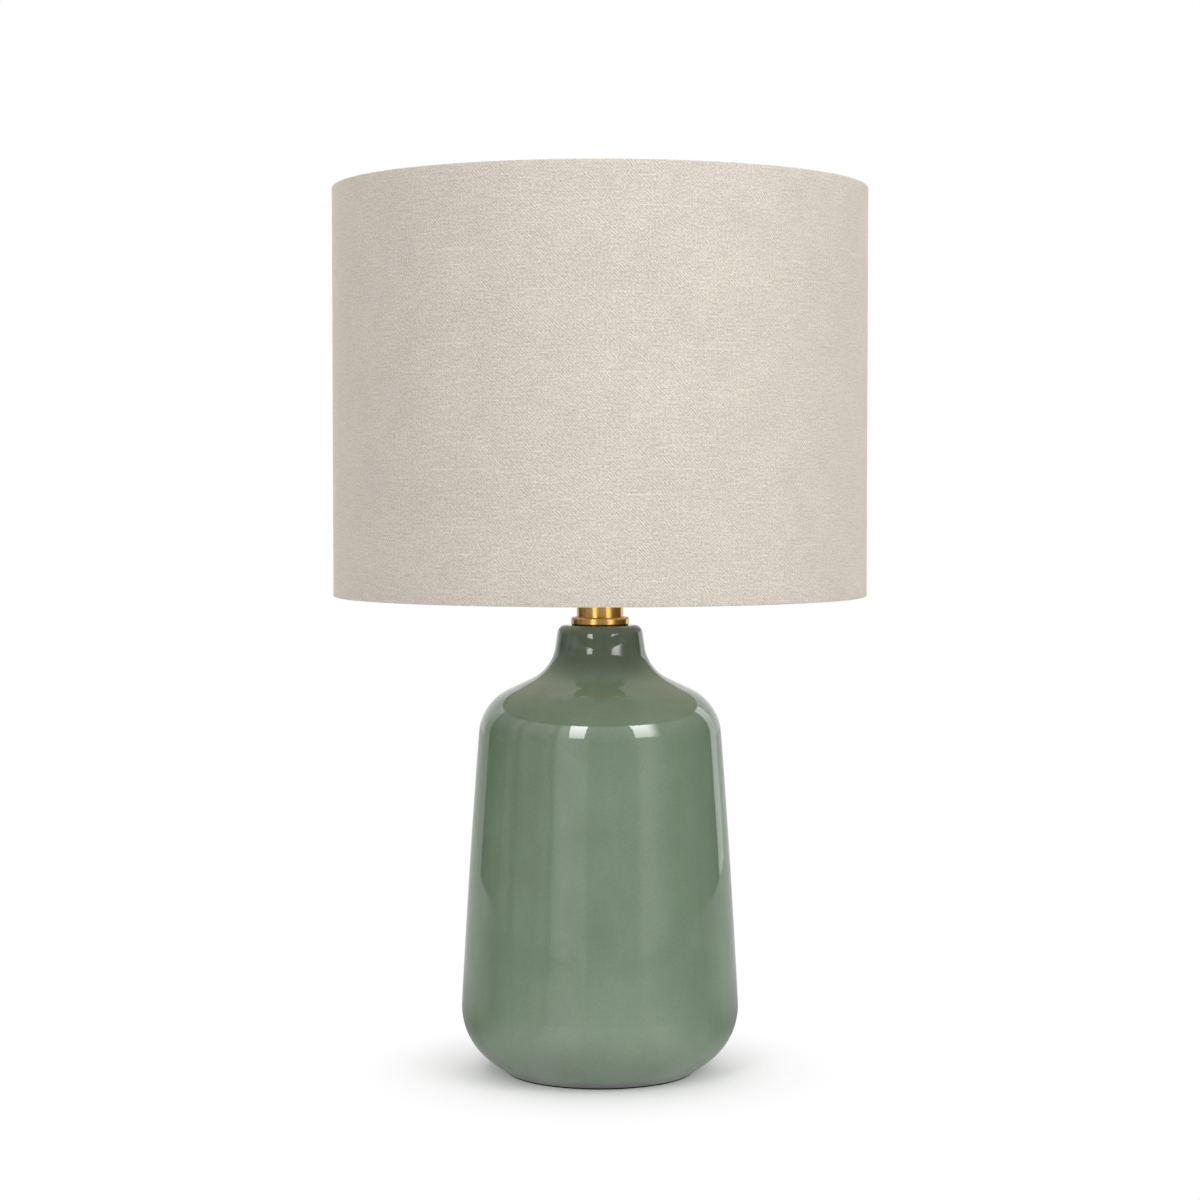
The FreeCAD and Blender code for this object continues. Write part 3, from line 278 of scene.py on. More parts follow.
turned_brass, tree, shader, place = new_finish("turned_satin_brass")
groove_scale = (1 / GROOVE_LENGTH, 1 / GROOVE_LENGTH, 1 / GROOVE)
squeezed = add(tree, "Mapping", {"Vector": place, "Scale": groove_scale})["Vector"]
groove = add(tree, "TexNoise", {"Vector": squeezed, "Scale": 1.0, "Detail": 2.0})["Fac"]
haze = add(tree, "TexNoise", {"Vector": place, "Scale": 1 / HAZE, "Detail": 3.0})["Fac"]
brass_tone = add(tree, "Mix", {0: haze, 6: linear("#C79A4B"), 7: linear("#D9AE62")}, data_type="RGBA")[2]
grooved = add(tree, "Bump", {"Height": groove, "Strength": 0.4, "Distance": GROOVE_DEPTH})["Normal"]
dulled = add(tree, "MapRange", {"Value": haze, "To Min": 0.22, "To Max": 0.28})["Result"]
around = add(tree, "Tangent", {}, direction_type="RADIAL", axis="Z")["Tangent"]
feed(tree, shader, {"Base Color": brass_tone, "Normal": grooved, "Metallic": 1.0, "Roughness": dulled,
                    "Anisotropic": 0.9, "Anisotropic Rotation": 0.25, "Tangent": around,
                    "Coat Weight": 0.5, "Coat Roughness": 0.2})
print("Brass grooves drawn", GROOVE / MM, "mm apart")

# %% [markdown]
# ## Plated metal
# Screws, rings, the harp and the socket are pressed or drawn from steel or thin brass and then plated in
# a bath. The plating follows the metal under it, so a faint grain from drawing shows through, and
# handling leaves duller spots. A screw thread is drawn as ridges in the bump. One function makes all of
# them, because the process is the same and only the metal and its gloss differ.

# %% Plated metals
SPOT = 4 * MM
DRAWN_GRAIN = 0.8 * MM
BULB_THREAD = 3.63 * MM
TUBE_THREAD = 0.94 * MM


def plated(name, dark, light, roughness, thread=None):
    """A plated metal in two close tones; thread is the spacing of its screw thread along Z, if any."""
    material, tree, shader, place = new_finish(name)
    spots = add(tree, "TexNoise", {"Vector": place, "Scale": 1 / SPOT, "Detail": 4.0,
                                   "Roughness": 0.6})["Fac"]
    tone = add(tree, "Mix", {0: spots, 6: linear(dark), 7: linear(light)}, data_type="RGBA")[2]
    dull = add(tree, "MapRange", {"Value": spots, "From Min": 0.3, "From Max": 0.7,
                                  "To Min": roughness - 0.01, "To Max": roughness + 0.03})["Result"]
    grain = add(tree, "TexNoise", {"Vector": place, "Scale": 1 / DRAWN_GRAIN, "Detail": 2.0})["Fac"]
    relief = add(tree, "Bump", {"Height": grain, "Strength": 0.08, "Distance": 0.004 * MM})["Normal"]
    if thread:
        rise = add(tree, "SeparateXYZ", {"Vector": place})["Z"]
        turns = add(tree, "Math", {0: rise, 1: TURN / thread}, operation="MULTIPLY")["Value"]
        ridge = add(tree, "Math", {0: turns}, operation="SINE")["Value"]
        relief = add(tree, "Bump", {"Height": ridge, "Strength": 1.0, "Distance": thread / 10,
                                    "Normal": relief})["Normal"]
    feed(tree, shader, {"Base Color": tone, "Metallic": 1.0, "Roughness": dull, "Normal": relief})
    return material


zinc_plate = plated("zinc_plated_steel", "#B9BBBB", "#D2D4D3", 0.34)
zinc_thread = plated("zinc_plated_thread", "#B9BBBB", "#D2D4D3", 0.34, thread=TUBE_THREAD)
brass_plate = plated("brass_plated_steel", "#BFA262", "#D0B67A", 0.3)
socket_brass = plated("drawn_socket_brass", "#C3A263", "#D3B67C", 0.26)
contact_brass = plated("pressed_contact_brass", "#C1A05C", "#D3B577", 0.3, thread=BULB_THREAD)
nickel_thread = plated("nickel_plated_bulb_cap", "#C4C3C0", "#DAD9D6", 0.26, thread=BULB_THREAD)
nickel_plate = plated("nickel_plated_contact", "#C4C3C0", "#DAD9D6", 0.28)
print("Bulb thread", BULB_THREAD / MM, "mm, tube thread", TUBE_THREAD / MM, "mm")

# %% [markdown]
# ## Mouldings, card and rubber
# The knob and the switch body are phenolic, pressed in a hot steel mould; the bulb's collar is white
# polycarbonate; the shade's lining is smooth styrene sheet; the insulating sleeve is vulcanised fibre
# card; gasket and grommet are rubber. A mould leaves its own fine texture on the surface, so each is a
# plain colour with small changes of tone and a fine grain. They differ in colour, gloss and how coarse
# that grain is.

# %% Moulded and sheet materials
FLOW = 12 * MM


def moulded(name, dark, light, roughness, grain_size, grain_depth):
    """A moulded, cast or rolled material that isn't metal."""
    material, tree, shader, place = new_finish(name)
    flow = add(tree, "TexNoise", {"Vector": place, "Scale": 1 / FLOW, "Detail": 3.0})["Fac"]
    tone = add(tree, "Mix", {0: flow, 6: linear(dark), 7: linear(light)}, data_type="RGBA")[2]
    grain = add(tree, "TexNoise", {"Vector": place, "Scale": 1 / grain_size, "Detail": 2.0})["Fac"]
    relief = add(tree, "Bump", {"Height": grain, "Strength": 0.5, "Distance": grain_depth})["Normal"]
    worn = add(tree, "MapRange", {"Value": flow, "To Min": roughness - 0.06,
                                  "To Max": roughness + 0.06})["Result"]
    feed(tree, shader, {"Base Color": tone, "Roughness": worn, "Normal": relief, "IOR": 1.5})
    return material


black_phenolic = moulded("black_phenolic", "#151515", "#1F1E1D", 0.34, 0.5 * MM, 0.01 * MM)
white_polycarbonate = moulded("white_polycarbonate", "#E3E2DD", "#EAE9E5", 0.42, 0.6 * MM, 0.01 * MM)
styrene_lining = moulded("styrene_lining", "#E8E1D7", "#EFE9E1", 0.5, 2.5 * MM, 0.02 * MM)
fibre_card = moulded("vulcanised_fibre_card", "#7A5A3C", "#8C6A48", 0.7, 0.8 * MM, 0.03 * MM)
black_rubber = moulded("black_rubber", "#0E0B08", "#181410", 0.8, 0.5 * MM, 0.02 * MM)

# %% [markdown]
# ## Frosted dome
# The bulb's dome is thin plastic or glass with a matt white coat inside. Light goes a little way into it
# and comes out again, which softens its shading. Subsurface scattering of a few millimetres gives that.

# %% Frosted dome
frosted_dome = moulded("frosted_dome", "#F0ECE8", "#F5F2EF", 0.36, 0.7 * MM, 0.006 * MM)
feed(frosted_dome.node_tree, frosted_dome.node_tree.nodes["Principled BSDF"],
     {"Subsurface Weight": 0.35, "Subsurface Scale": 3 * MM})

# %% [markdown]
# ## Felt
# The pad under the foot is pressed wool felt, cut with a die. Pressed fibres lie in every direction, so
# the surface is matt, cloudy and a little furry. Sheen stands for the fur at the edge, and a coarse noise
# for the clumps.

# %% Pressed felt
FIBRE = 0.9 * MM
CLUMP = 6 * MM
NAP = 0.25 * MM

brown_felt, tree, shader, place = new_finish("pressed_felt")
clump = add(tree, "TexNoise", {"Vector": place, "Scale": 1 / CLUMP, "Detail": 4.0, "Roughness": 0.7})["Fac"]
fibre = add(tree, "TexNoise", {"Vector": place, "Scale": 1 / FIBRE, "Detail": 4.0, "Distortion": 1.5})["Fac"]
felt_tone = add(tree, "Mix", {0: clump, 6: linear("#100A07"), 7: linear("#1F1611")}, data_type="RGBA")[2]
furry = add(tree, "Bump", {"Height": fibre, "Strength": 0.8, "Distance": NAP})["Normal"]
feed(tree, shader, {"Base Color": felt_tone, "Roughness": 0.95, "Normal": furry, "Sheen Weight": 0.1,
                    "Sheen Roughness": 0.6})

# %% [markdown]
# ## Dress the solid pieces
# Every solid that keeps its shape gets the finish of what it is made from. The two cloth solids get none
# here: cloth pieces take their place further on.

# %% Give each piece its finish
FINISHES = {
    "ceramic_body": sage_glaze, "cord_grommet": black_rubber, "neck_gasket": black_rubber,
    "base_plate": zinc_plate, "lock_washer": zinc_plate, "bottom_nut": zinc_plate,
    "threaded_tube": zinc_thread,
    "neck_flange": turned_brass, "neck_tube": turned_brass, "lock_nut": turned_brass, "finial": turned_brass,
    "harp_saddle": brass_plate, "harp_loop": brass_plate, "harp_stud": turned_brass,
    "harp_sleeve_left": brass_plate, "harp_sleeve_right": brass_plate,
    "socket_cap": socket_brass, "socket_shell": socket_brass, "socket_set_screw": zinc_plate,
    "socket_insulator": fibre_card, "switch_body": black_phenolic, "switch_knob": black_phenolic,
    "switch_shaft": zinc_plate, "terminal_screw_hot": brass_plate, "terminal_screw_neutral": zinc_plate,
    "screw_shell": contact_brass, "centre_contact": brass_plate,
    "bulb_contact": nickel_plate, "bulb_cap": nickel_thread, "bulb_collar": white_polycarbonate,
    "bulb_dome": frosted_dome, "shade_lining": styrene_lining,
    "top_ring": brass_plate, "bottom_ring": brass_plate, "spider_hub": brass_plate,
    "spider_arm_1": brass_plate, "spider_arm_2": brass_plate, "spider_arm_3": brass_plate,
}
for name, finish in FINISHES.items():
    for surface in nodes[name].material_slots:
        surface.material = finish
print("Without a finish of their own:", sorted(set(nodes) - set(FINISHES)))

# %% [markdown]
# ## The linen on the drum
# A shade maker rolls linen onto the stiff lining, folds its spare edges over the two wire rings and tucks
# them in behind, and laps the two ends at the back. A plain tube would miss the soft rolled edge, the
# tucked hem inside and the lap. So the cloth is drawn once in section, as a line that rolls round discs:
# the ring, the small bend at the drum's corner, and the bend where the hem meets the lining. That line is
# then swept round the drum, a little more than one full turn.

# %% Section of the linen


def reach_of(node, pick):
    """The largest or smallest distance of a solid piece's surface from the lamp's axis."""
    return pick(math.hypot(vertex.co.x, vertex.co.y) for vertex in nodes[node].data.vertices)


def touching(first, second):
    """Both ends of the straight line that touches two discs: each a centre and a radius, signed by turn."""
    gap = second[0] - first[0]
    twist = second[1] - first[1]
    along = gap * complex(math.sqrt(abs(gap) ** 2 - twist ** 2), -twist) / abs(gap) ** 2
    return first[0] - 1j * along * first[1], second[0] - 1j * along * second[1]


def rolled_line(discs, arc_step, run_step):
    """The line that rolls round the discs, as points in the plane: across is real and up is imaginary."""
    corners = [discs[0][0]]
    for before, disc, after in zip(discs, discs[1:], discs[2:]):
        centre, radius = disc
        start, end = touching(before, disc)[1], touching(disc, after)[0]
        sweep = cmath.phase((end - centre) / (start - centre)) % math.copysign(TURN, radius)
        count = max(2, math.ceil(abs(sweep * radius) / arc_step))
        corners += [centre + (start - centre) * cmath.exp(1j * sweep * k / count) for k in range(count + 1)]
    corners.append(discs[-1][0])
    points = []
    for start, end in zip(corners, corners[1:]):
        count = max(1, math.ceil(abs(end - start) / run_step))
        points += [start + (end - start) * k / count for k in range(count)]
    return np.array(points + [corners[-1]])


CLOTH = 0.6 * MM
RING_SLACK = 0.5 * MM
CORNER_BEND = 1.0 * MM
HEM_BEND = 2.0 * MM
HEM_STRAIGHT = 0.8 * MM
HEM_TAIL = 3.0 * MM
GLUE = 0.05 * MM

shade_low, shade_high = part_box("shade_fabric")
ring_low, ring_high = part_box("top_ring")
drum_radius = reach_of("shade_fabric", max)
wire = (ring_high.z - ring_low.z) / 2
ring_centre = complex(reach_of("top_ring", max) - wire, (ring_high.z + ring_low.z) / 2)
tail = reach_of("shade_lining", min) - GLUE - CLOTH
wrap = wire + RING_SLACK + CLOTH
bend_level = ring_centre.imag - wrap - HEM_BEND - HEM_STRAIGHT
upper = [
    (complex(drum_radius - CORNER_BEND, shade_high.z - CORNER_BEND), CORNER_BEND),
    (ring_centre, wrap),
    (complex(tail - HEM_BEND, bend_level), -HEM_BEND),
    (complex(tail, bend_level - HEM_TAIL), 0.0),
]
middle = (shade_low.z + shade_high.z) / 2
lower = [(complex(centre.real, 2 * middle - centre.imag), radius) for centre, radius in reversed(upper)]
section = rolled_line(lower + upper, arc_step=0.5 * MM, run_step=9 * MM)
edge_to_edge = float(np.abs(np.diff(section)).sum())
print("Linen section:", len(section), "points,", round(edge_to_edge, 4), "m from edge to edge")

# %% [markdown]
# The sweep goes round in even steps. The last stretch laps over the first at the back, so it rises by one
# thickness of cloth first, along the cloth's own outward direction. The flat coordinates that the weave
# needs are simply how far round and how far along the section each point lies.

# %% Sweep the linen round the drum
STEPS_ROUND = 480
LAP_STEPS = 5
LAP_RISE_STEPS = 3
SEAM = math.radians(112.5)

step = TURN / STEPS_ROUND
turns = np.arange(STEPS_ROUND + LAP_STEPS + 1)
rise = np.clip((turns - STEPS_ROUND + LAP_RISE_STEPS) / LAP_RISE_STEPS, 0, 1) * (CLOTH + GLUE)
direction = np.gradient(section)
outward = -1j * direction / np.abs(direction)
lifted = section[None, :] + outward[None, :] * rise[:, None]
angles = SEAM + turns * step
east = lifted.real * np.cos(angles)[:, None]
north = lifted.real * np.sin(angles)[:, None]
corners = np.stack([east, north, lifted.imag], axis=2)
round_way = turns * step * drum_radius
along_way = np.concatenate([[0], np.cumsum(np.abs(np.diff(section)))])
rows = len(section)
faces = [(i * rows + j, (i + 1) * rows + j, (i + 1) * rows + j + 1, i * rows + j + 1)
         for i in range(len(turns) - 1) for j in range(rows - 1)]
linen_mesh = bpy.data.meshes.new("linen_skin")
linen_mesh.from_pydata(corners.reshape(-1, 3).tolist(), [], faces)
flat = linen_mesh.uv_layers.new(name="flat_cloth").data
for loop in linen_mesh.loops:
    i, j = divmod(loop.vertex_index, rows)
    flat[loop.index].uv = (round_way[i], along_way[j])
linen = put_in_scene("linen_skin", linen_mesh)
print("Linen:", len(faces), "faces, lap", round(LAP_STEPS * step * drum_radius / MM, 1), "mm at the back")

# %% [markdown]
# The three spider arms pass through the hem to reach the ring, so the maker snips the cloth there. The
# faces that an arm would run through come out. A Solidify modifier then gives the sheet its thickness,
# inward from the face that shows, and the edges of lap, hems and snips get their cut edge.

# %% Snip the hem, thicken the cloth and hang it
SNIP_SPARE = 0.9 * MM

snip = wire + SNIP_SPARE
arm_middles = [sum(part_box(f"spider_arm_{number}"), Vector()) for number in (1, 2, 3)]
arms = [math.atan2(middle_of_arm.y, middle_of_arm.x) for middle_of_arm in arm_middles]
sheet = bmesh.new()
sheet.from_mesh(linen_mesh)
snipped = []
for face in sheet.faces:
    spot = face.calc_center_median()
    inside = math.hypot(spot.x, spot.y) < ring_centre.real and abs(spot.z - ring_centre.imag) < snip
    turned_by = min(abs(cmath.phase(cmath.rect(1, math.atan2(spot.y, spot.x) - arm))) for arm in arms)
    if inside and turned_by * ring_centre.real < snip:
        snipped.append(face)
bmesh.ops.delete(sheet, geom=snipped, context="FACES")
for face in sheet.faces:
    face.smooth = True
sheet.to_mesh(linen_mesh)
sheet.free()
linen_mesh.materials.append(oatmeal_linen)
thick = linen.modifiers.new("cloth_thickness", "SOLIDIFY")
thick.thickness = CLOTH
thick.offset = -1
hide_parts("shade_fabric")
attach(linen, "shade")
print("Snipped faces:", len(snipped))

# %% [markdown]
# ## The felt under the foot
# The felt is a disc cut with a die and glued on. A die presses the edge down a little as it cuts, so the
# edge is rounded rather than square, and fibres make it slightly uneven. A polar grid with a rounded rim,
# nudged in and out by a fifth of a millimetre, shows both where the pad peeps out under the glaze.

# %% Felt disc
FELT_EDGE = 0.45 * MM
FELT_STEPS = 240
RIM_POINTS = 5
INNER_SHARES = (0.0, 0.25, 0.5, 0.75)
NUDGE = 0.2 * MM
NUDGED_SHARE = 0.9
WAVES = ((0.25, 7, 0), (0.15, 23, 1), (0.1, 61, 0))

felt_low, felt_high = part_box("felt_pad")
felt_radius = reach_of("felt_pad", max)
felt_top = felt_high.z
quarter = [cmath.rect(FELT_EDGE, math.radians(90) * k / (RIM_POINTS - 1)) for k in range(RIM_POINTS)]
rim = [complex(felt_radius - FELT_EDGE, felt_low.z + FELT_EDGE) + q.conjugate() for q in reversed(quarter)]
rim += [complex(felt_radius - FELT_EDGE, felt_top - FELT_EDGE) + q for q in quarter]
spokes = [complex(felt_radius * share, felt_low.z) for share in INNER_SHARES] + rim
spokes += [complex(felt_radius * share, felt_top) for share in reversed(INNER_SHARES)]
felt = bmesh.new()
rings = []
for k in range(FELT_STEPS):
    angle = TURN * k / FELT_STEPS
    uneven = NUDGE * (0.5 - sum(height * math.sin(count * angle + start) for height, count, start in WAVES))
    ring = []
    for spot in spokes:
        reach = max(0, spot.real - uneven * (spot.real > NUDGED_SHARE * felt_radius))
        ring.append(felt.verts.new((reach * math.cos(angle), reach * math.sin(angle), spot.imag)))
    rings.append(ring)
for first, second in zip(rings, rings[1:] + rings[:1]):
    for j in range(len(spokes) - 1):
        felt.faces.new((first[j], second[j], second[j + 1], first[j + 1]))
bmesh.ops.remove_doubles(felt, verts=felt.verts, dist=0.001 * MM)
for face in felt.faces:
    face.smooth = True
felt_mesh = bpy.data.meshes.new("felt_disc")
felt.to_mesh(felt_mesh)
felt.free()
felt_mesh.materials.append(brown_felt)
felt_disc = put_in_scene("felt_disc", felt_mesh)
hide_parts("felt_pad")
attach(felt_disc, "base")
print("Felt disc", round(2 * felt_radius / MM, 1), "mm across,",
      round((felt_top - felt_low.z) / MM, 2), "mm thick")

# %% [markdown]
# ## What the room looks like from the lamp
# Glossy ceramic and brass show the room, so the room has to be there, though no picture shows it
# directly. From the lamp, with the camera at 0 degrees and right positive, it is black at both sides,
# grey in front, and lighter below two windows. A short list of levels by direction says so once. The
# curtain and the floor both use it.

# %% Levels round the room
ROOM_END = 140.0
BRIGHTEST = 1.9
ROOM = (
    (-140, 0.6), (-127, 0.6), (-126, 0.0), (-113, 0.02), (-104, 0.1), (-96, 0.15), (-94, 0.4),
    (-87, 0.4), (-84, 0.1), (-79, 0.1), (-76, 0.5), (-62, 0.5), (-59, 0.45), (-48, 0.6),
    (-45, 0.35), (-42, 0.35), (-40, 1.15), (-32, 1.6), (-13, 1.1), (-10, 0.5), (0, 0.4), (32, 0.65),
    (35, 1.15), (44, 1.35), (54, 0.8), (65, 0.25), (78, 0.1), (126, 0.0), (127, 1.4), (140, 1.4))


def room_level(tree):
    """The room's level in the direction of the shaded point, seen from the lamp's axis."""
    place = add(tree, "SeparateXYZ", {"Vector": add(tree, "TexCoord", {})["Object"]})
    toward = add(tree, "Math", {0: place["Y"], 1: -1.0}, operation="MULTIPLY")["Value"]
    bearing = add(tree, "Math", {0: place["X"], 1: toward}, operation="ARCTAN2")["Value"]
    end = math.radians(ROOM_END)
    share = add(tree, "MapRange", {"Value": bearing, "From Min": -end, "From Max": end})["Result"]
    ramp = tree.nodes.new("ShaderNodeValToRGB")
    stops = ramp.color_ramp.elements
    for degrees, level in ROOM:
        position = (degrees + ROOM_END) / (2 * ROOM_END)
        stop = stops[0] if position == 0 else stops[-1] if position == 1 else stops.new(position)
        stop.color = [level / BRIGHTEST] * 3 + [1.0]
    feed(tree, ramp, {"Fac": share})
    return add(tree, "Math", {0: ramp.outputs["Color"], 1: BRIGHTEST}, operation="MULTIPLY")["Value"]


def background_rays(tree):
    """A Light Path's outputs, and 1 for camera, glossy and transmission rays: they see the background."""
    ray = add(tree, "LightPath", {})
    seen = add(tree, "Math", {0: ray["Is Camera Ray"], 1: ray["Is Glossy Ray"]}, operation="ADD")["Value"]
    seen = add(tree, "Math", {0: seen, 1: ray["Is Transmission Ray"]}, operation="ADD",
               use_clamp=True)["Value"]
    return ray, seen


def glowing(name, level_of):
    """A finish that only glows, white, at the level that a function adds to its tree."""
    material = bpy.data.materials.new(name)
    material.use_nodes = True
    tree = material.node_tree
    tree.nodes.remove(tree.nodes["Principled BSDF"])
    glow = add(tree, "Emission", {"Color": (1, 1, 1, 1), "Strength": level_of(tree)})["Emission"]
    feed(tree, tree.nodes["Material Output"], {"Surface": glow})
    return material


def hide_from(thing, *kinds_of_ray):
    """Makes a lamp or a screen invisible to some kinds of ray."""
    for kind in kinds_of_ray:
        setattr(thing, "visible_" + kind, False)


def mirrored_only(screen, material):
    """Gives a screen its glow and lets only reflections see it."""
    screen.data.materials.append(material)
    hide_from(screen, "camera", "diffuse", "transmission", "shadow", "volume_scatter")


print("Room levels:", len(ROOM), "from", ROOM[0][0], "to", ROOM[-1][0], "degrees")

# %% [markdown]
# ## The floor
# The lamp stands on a pale sheet that runs on without an edge. Near the lamp the floor is lit as any
# surface, so it takes the lamp's soft shadow. Further out it turns into plain white for the camera, so
# that no horizon shows, and into a painted glow for reflections: brightest close in front, with a painted
# reflection of the windows on it, and dull at the sides. From beneath it is clear, so that the underside
# of the lamp can be looked at.

# %% Floor
FLOOR_RADIUS = 9.0
FADE_START = 0.06
FADE_END = 0.17
MIRRORED_FLOOR = 0.2
MIRRORED_FRONT = 1.1
MIRRORED_BACK = 0.47
PAINTED_WINDOW_SHEEN = 0.6

floor_paint, tree, shader, place = new_finish("pale_floor")
away = add(tree, "VectorMath", {0: place}, operation="LENGTH")["Value"]
faded = add(tree, "MapRange", {"Value": away, "From Min": FADE_START, "From Max": FADE_END, "To Min": 0.2,
                               "To Max": 1.0}, interpolation_type="SMOOTHSTEP")["Result"]
ray, seen = background_rays(tree)
share = add(tree, "Math", {0: seen, 1: faded}, operation="MULTIPLY")["Value"]
feed(tree, shader, {"Base Color": linear("#FFFFFF"), "Roughness": 0.9, "Specular IOR Level": 0.2})
backward = add(tree, "SeparateXYZ", {"Vector": place})["Y"]
facing = add(tree, "Math", {0: backward, 1: away}, operation="DIVIDE")["Value"]
front = add(tree, "MapRange", {"Value": facing, "From Min": 0.0, "From Max": -1.0})["Result"]
back = add(tree, "MapRange", {"Value": facing, "From Min": 0.05, "From Max": 0.45,
                              "To Max": MIRRORED_BACK})["Result"]
near = add(tree, "MapRange", {"Value": away, "From Min": 0.3, "From Max": 1.3, "To Min": MIRRORED_FRONT,
                              "To Max": 0.0})["Result"]
far = add(tree, "MapRange", {"Value": away, "From Min": 0.1, "From Max": 0.5})["Result"]
# Painted reflection: in front, the glow that reflections see rises with the room's levels, so the windows'
# sheen shows on it.
room = room_level(tree)
ahead = add(tree, "Math", {0: room, 1: PAINTED_WINDOW_SHEEN, 2: near}, operation="MULTIPLY_ADD")["Value"]
sheen = add(tree, "Math", {0: back, 1: far, 2: MIRRORED_FLOOR}, operation="MULTIPLY_ADD")["Value"]
sheen = add(tree, "Math", {0: front, 1: ahead, 2: sheen}, operation="MULTIPLY_ADD")["Value"]
strength = add(tree, "MapRange", {"Value": ray["Is Glossy Ray"], "To Min": 1.0, "To Max": sheen})["Result"]
glow = add(tree, "Emission", {"Color": (1, 1, 1, 1), "Strength": strength})["Emission"]
mixed = add(tree, "MixShader", {0: share, 1: shader.outputs["BSDF"], 2: glow})["Shader"]
beneath = add(tree, "NewGeometry", {})["Backfacing"]
see_through = add(tree, "BsdfTransparent", {})["BSDF"]
one_sided = add(tree, "MixShader", {0: beneath, 1: mixed, 2: see_through})["Shader"]
feed(tree, tree.nodes["Material Output"], {"Surface": one_sided})
bpy.ops.mesh.primitive_circle_add(vertices=96, radius=FLOOR_RADIUS, fill_type="TRIFAN", location=(0, 0, 0))
floor = bpy.context.object
floor.name = "studio_floor"
floor.data.materials.append(floor_paint)

# %% [markdown]
# ## Air and curtain
# The world is plain white for the camera and for reflections, and a soft fill for everything else. The
# curtain is a band round the front and the sides that only reflections see. Beyond its ends the white
# shows, which draws the bright line along the rim of the ceramic. A grey disc overhead is what glossy
# things see through the top of the shade.

# %% World, curtain and ceiling disc
FILL = 0.25
CURTAIN_DISTANCE = 1.5
CURTAIN_TOP = 1.38
CURTAIN_POSTS = 132
CEILING_HEIGHT = 2.05
CEILING_RADIUS = 1.0
CEILING_LEVEL = 0.5

world = bpy.data.worlds.new("studio_air")
world.use_nodes = True
bpy.context.scene.world = world
tree = world.node_tree
seen = background_rays(tree)[1]
level = add(tree, "MapRange", {"Value": seen, "To Min": FILL, "To Max": 1.0})["Result"]
feed(tree, tree.nodes["Background"], {"Color": (1, 1, 1, 1), "Strength": level})

bearings = np.radians(np.linspace(-ROOM_END, ROOM_END, CURTAIN_POSTS))
round_lamp = np.stack([np.sin(bearings), -np.cos(bearings), 0 * bearings], axis=1) * CURTAIN_DISTANCE
posts = np.stack([round_lamp, round_lamp + (0, 0, CURTAIN_TOP)], axis=1).reshape(-1, 3)
curtain_mesh = bpy.data.meshes.new("studio_curtain")
curtain_mesh.from_pydata(posts.tolist(), [], [(k, k + 2, k + 3, k + 1) for k in range(0, len(posts) - 2, 2)])
curtain = put_in_scene("studio_curtain", curtain_mesh)


def lighter_with_height(tree):
    """The room's level, rising towards the top of the curtain."""
    height = add(tree, "SeparateXYZ", {"Vector": add(tree, "TexCoord", {})["Object"]})["Z"]
    rise = add(tree, "MapRange", {"Value": height, "From Min": 0.4, "From Max": 1.1,
                                  "To Max": 0.75})["Result"]
    factor = add(tree, "Math", {0: rise, 1: 1.0}, operation="ADD")["Value"]
    return add(tree, "Math", {0: room_level(tree), 1: factor, 2: rise}, operation="MULTIPLY_ADD")["Value"]


mirrored_only(curtain, glowing("curtain_glow", lighter_with_height))
bpy.ops.mesh.primitive_circle_add(vertices=64, radius=CEILING_RADIUS, fill_type="TRIFAN",
                                  location=(0, 0, CEILING_HEIGHT))
bpy.context.object.name = "studio_ceiling"
mirrored_only(bpy.context.object, glowing("ceiling_glow", lambda tree: CEILING_LEVEL))
print("Curtain", CURTAIN_TOP, "m tall at", CURTAIN_DISTANCE, "m, fill", FILL)

# %% [markdown]
# ## Windows
# Two tall windows stand to the left and right of the camera. Each is a soft lamp high up, which lights
# the cloth and the glaze, and a bright pane that only reflections see and that reaches further down: the
# panes give the crisp lights on the shoulder. They could be one lamp, but a lamp so bright would burn out
# the pale linen. The drum hides both panes from the neck, so two small lamps with a narrow spread, just
# inside its foot, give the neck its lights. A wide lamp overhead lights the floor and, through the open
# shade, the shoulder of the base. A weak one behind keeps the back of the shade from going grey.

# %% Windows and lamps
WAIST = Vector((0, 0, 0.26))
LAMP_DISTANCE = 2.6
LAMP_ELEVATIONS = (15, 48)
PANE_DISTANCE = 1.4
PANE_ELEVATIONS = (11, 48)
NECK = Vector((0, 0, 0.29))
LIGHT_FOOT = 0.3203
LIGHT_TOP = 0.343
SPREAD = 60


def lamp(name, place, width, height, luminance, aim=WAIST):
    """A flat soft lamp of this luminance that faces the waist of the lamp, or another point."""
    box = bpy.data.lights.new(name, "AREA")
    box.shape = "RECTANGLE"
    box.size, box.size_y = width, height
    box.energy = luminance * math.pi * width * height
    holder = put_in_scene(name, box)
    holder.location = place
    holder.rotation_euler = (aim - place).to_track_quat("-Z", "Y").to_euler()
    print(name, round(width, 2), "x", round(height, 2), "m")
    return holder


def place_in_view(azimuths, elevations, distance):
    """Place, width and height of a flat thing that fills this part of the view from the waist."""
    azimuth, elevation = math.radians(sum(azimuths) / 2), math.radians(sum(elevations) / 2)
    out = Vector((math.sin(azimuth) * math.cos(elevation), -math.cos(azimuth) * math.cos(elevation),
                  math.sin(elevation)))
    width = 2 * distance * math.tan(math.radians(azimuths[1] - azimuths[0]) / 2) * math.cos(elevation)
    height = 2 * distance * math.tan(math.radians(elevations[1] - elevations[0]) / 2)
    return WAIST + out * distance, width, height


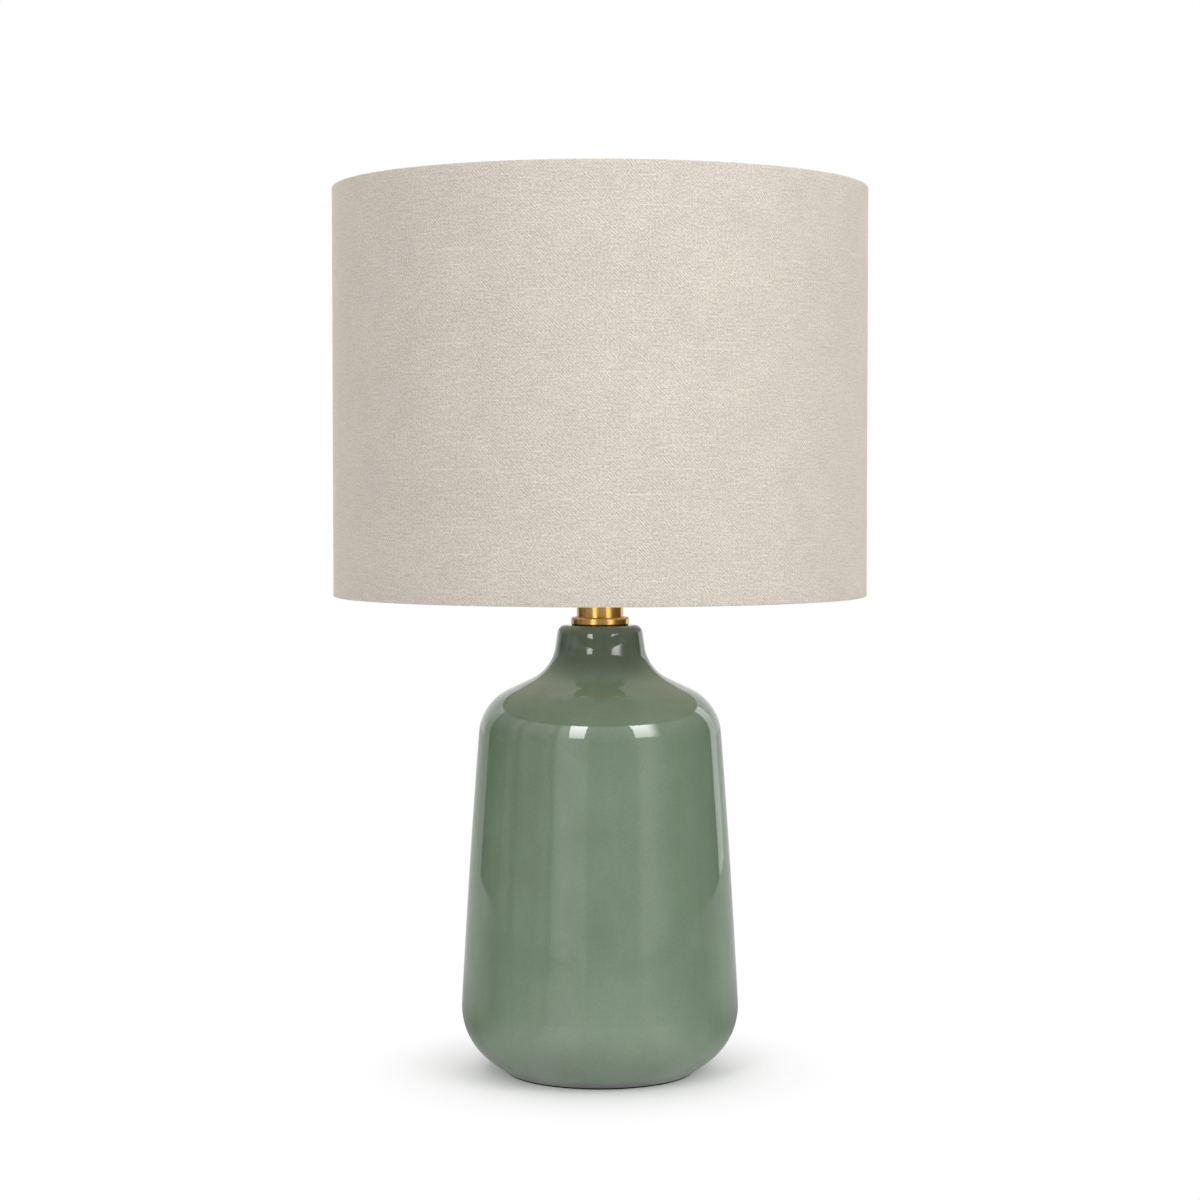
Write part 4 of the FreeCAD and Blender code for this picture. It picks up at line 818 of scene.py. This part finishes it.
def fading(tree, level, soft_side, low_share):
    """A level that fades over a share of the width from the right, and to a share of it towards the foot."""
    spot = add(tree, "SeparateXYZ", {"Vector": add(tree, "TexCoord", {})["Generated"]})
    across = add(tree, "MapRange", {"Value": spot["X"], "From Min": 1.0, "From Max": 1.0 - soft_side,
                                    "To Min": 1.0, "To Max": level},
                 interpolation_type="SMOOTHSTEP")["Result"]
    rise = add(tree, "MapRange", {"Value": spot["Y"], "From Max": 0.6, "To Min": low_share})["Result"]
    return add(tree, "Math", {0: across, 1: rise}, operation="MULTIPLY")["Value"]


def window(name, azimuths, luminance, level, soft_side):
    """A window: a soft lamp high up, and a pane for reflections that reaches further down."""
    high_part = place_in_view(azimuths, LAMP_ELEVATIONS, LAMP_DISTANCE)
    hide_from(lamp(name + "_lamp", *high_part, luminance), "camera", "glossy")
    place, width, height = place_in_view(azimuths, PANE_ELEVATIONS, PANE_DISTANCE)
    bpy.ops.mesh.primitive_plane_add(size=1, location=place,
                                     rotation=(WAIST - place).to_track_quat("-Z", "Y").to_euler())
    pane = bpy.context.object
    pane.name = name + "_pane"
    pane.scale = (width, height, 1)
    mirrored_only(pane, glowing(name + "_glow", lambda tree: fading(tree, level, soft_side, low_share=0.5)))


def neck_light(name, left, right, luminance, soft_side):
    """A small lamp with a narrow spread, inside the drum's foot, for the neck and the brass to mirror."""
    place = Vector((*(left + right) / 2, (LIGHT_FOOT + LIGHT_TOP) / 2))
    holder = lamp(name, place, (right - left).length, LIGHT_TOP - LIGHT_FOOT, luminance, NECK)
    holder.data.spread = math.radians(SPREAD)
    holder.data.use_nodes = True
    tree = holder.data.node_tree
    spot = add(tree, "SeparateXYZ", {"Vector": add(tree, "NewGeometry", {})["Parametric"]})
    across = add(tree, "MapRange", {"Value": spot["X"], "From Min": 1.0, "From Max": 1.0 - soft_side},
                 interpolation_type="SMOOTHSTEP")["Result"]
    feed(tree, tree.nodes["Emission"], {"Strength": across})
    hide_from(holder, "camera", "diffuse", "transmission", "volume_scatter")


window("left_window", azimuths=(-31, -12.5), luminance=5.2, level=17.0, soft_side=0.05)
window("right_window", azimuths=(31, 64), luminance=3.6, level=15.5, soft_side=0.55)
neck_light("left_neck_light", left=Vector((-0.081, -0.131)), right=Vector((-0.046, -0.1475)),
           luminance=0.9, soft_side=0.05)
neck_light("right_neck_light", left=Vector((0.071, -0.134)), right=Vector((0.131, -0.076)),
           luminance=0.8, soft_side=0.6)
overhead = lamp("ceiling_lamp", Vector((0, 0, 2.1)), width=2.4, height=2.4, luminance=1.2)
behind = lamp("back_lamp", Vector((0, 1.8, 1.1)), width=2.0, height=1.2, luminance=0.8)
for holder in (overhead, behind):
    hide_from(holder, "camera", "glossy")
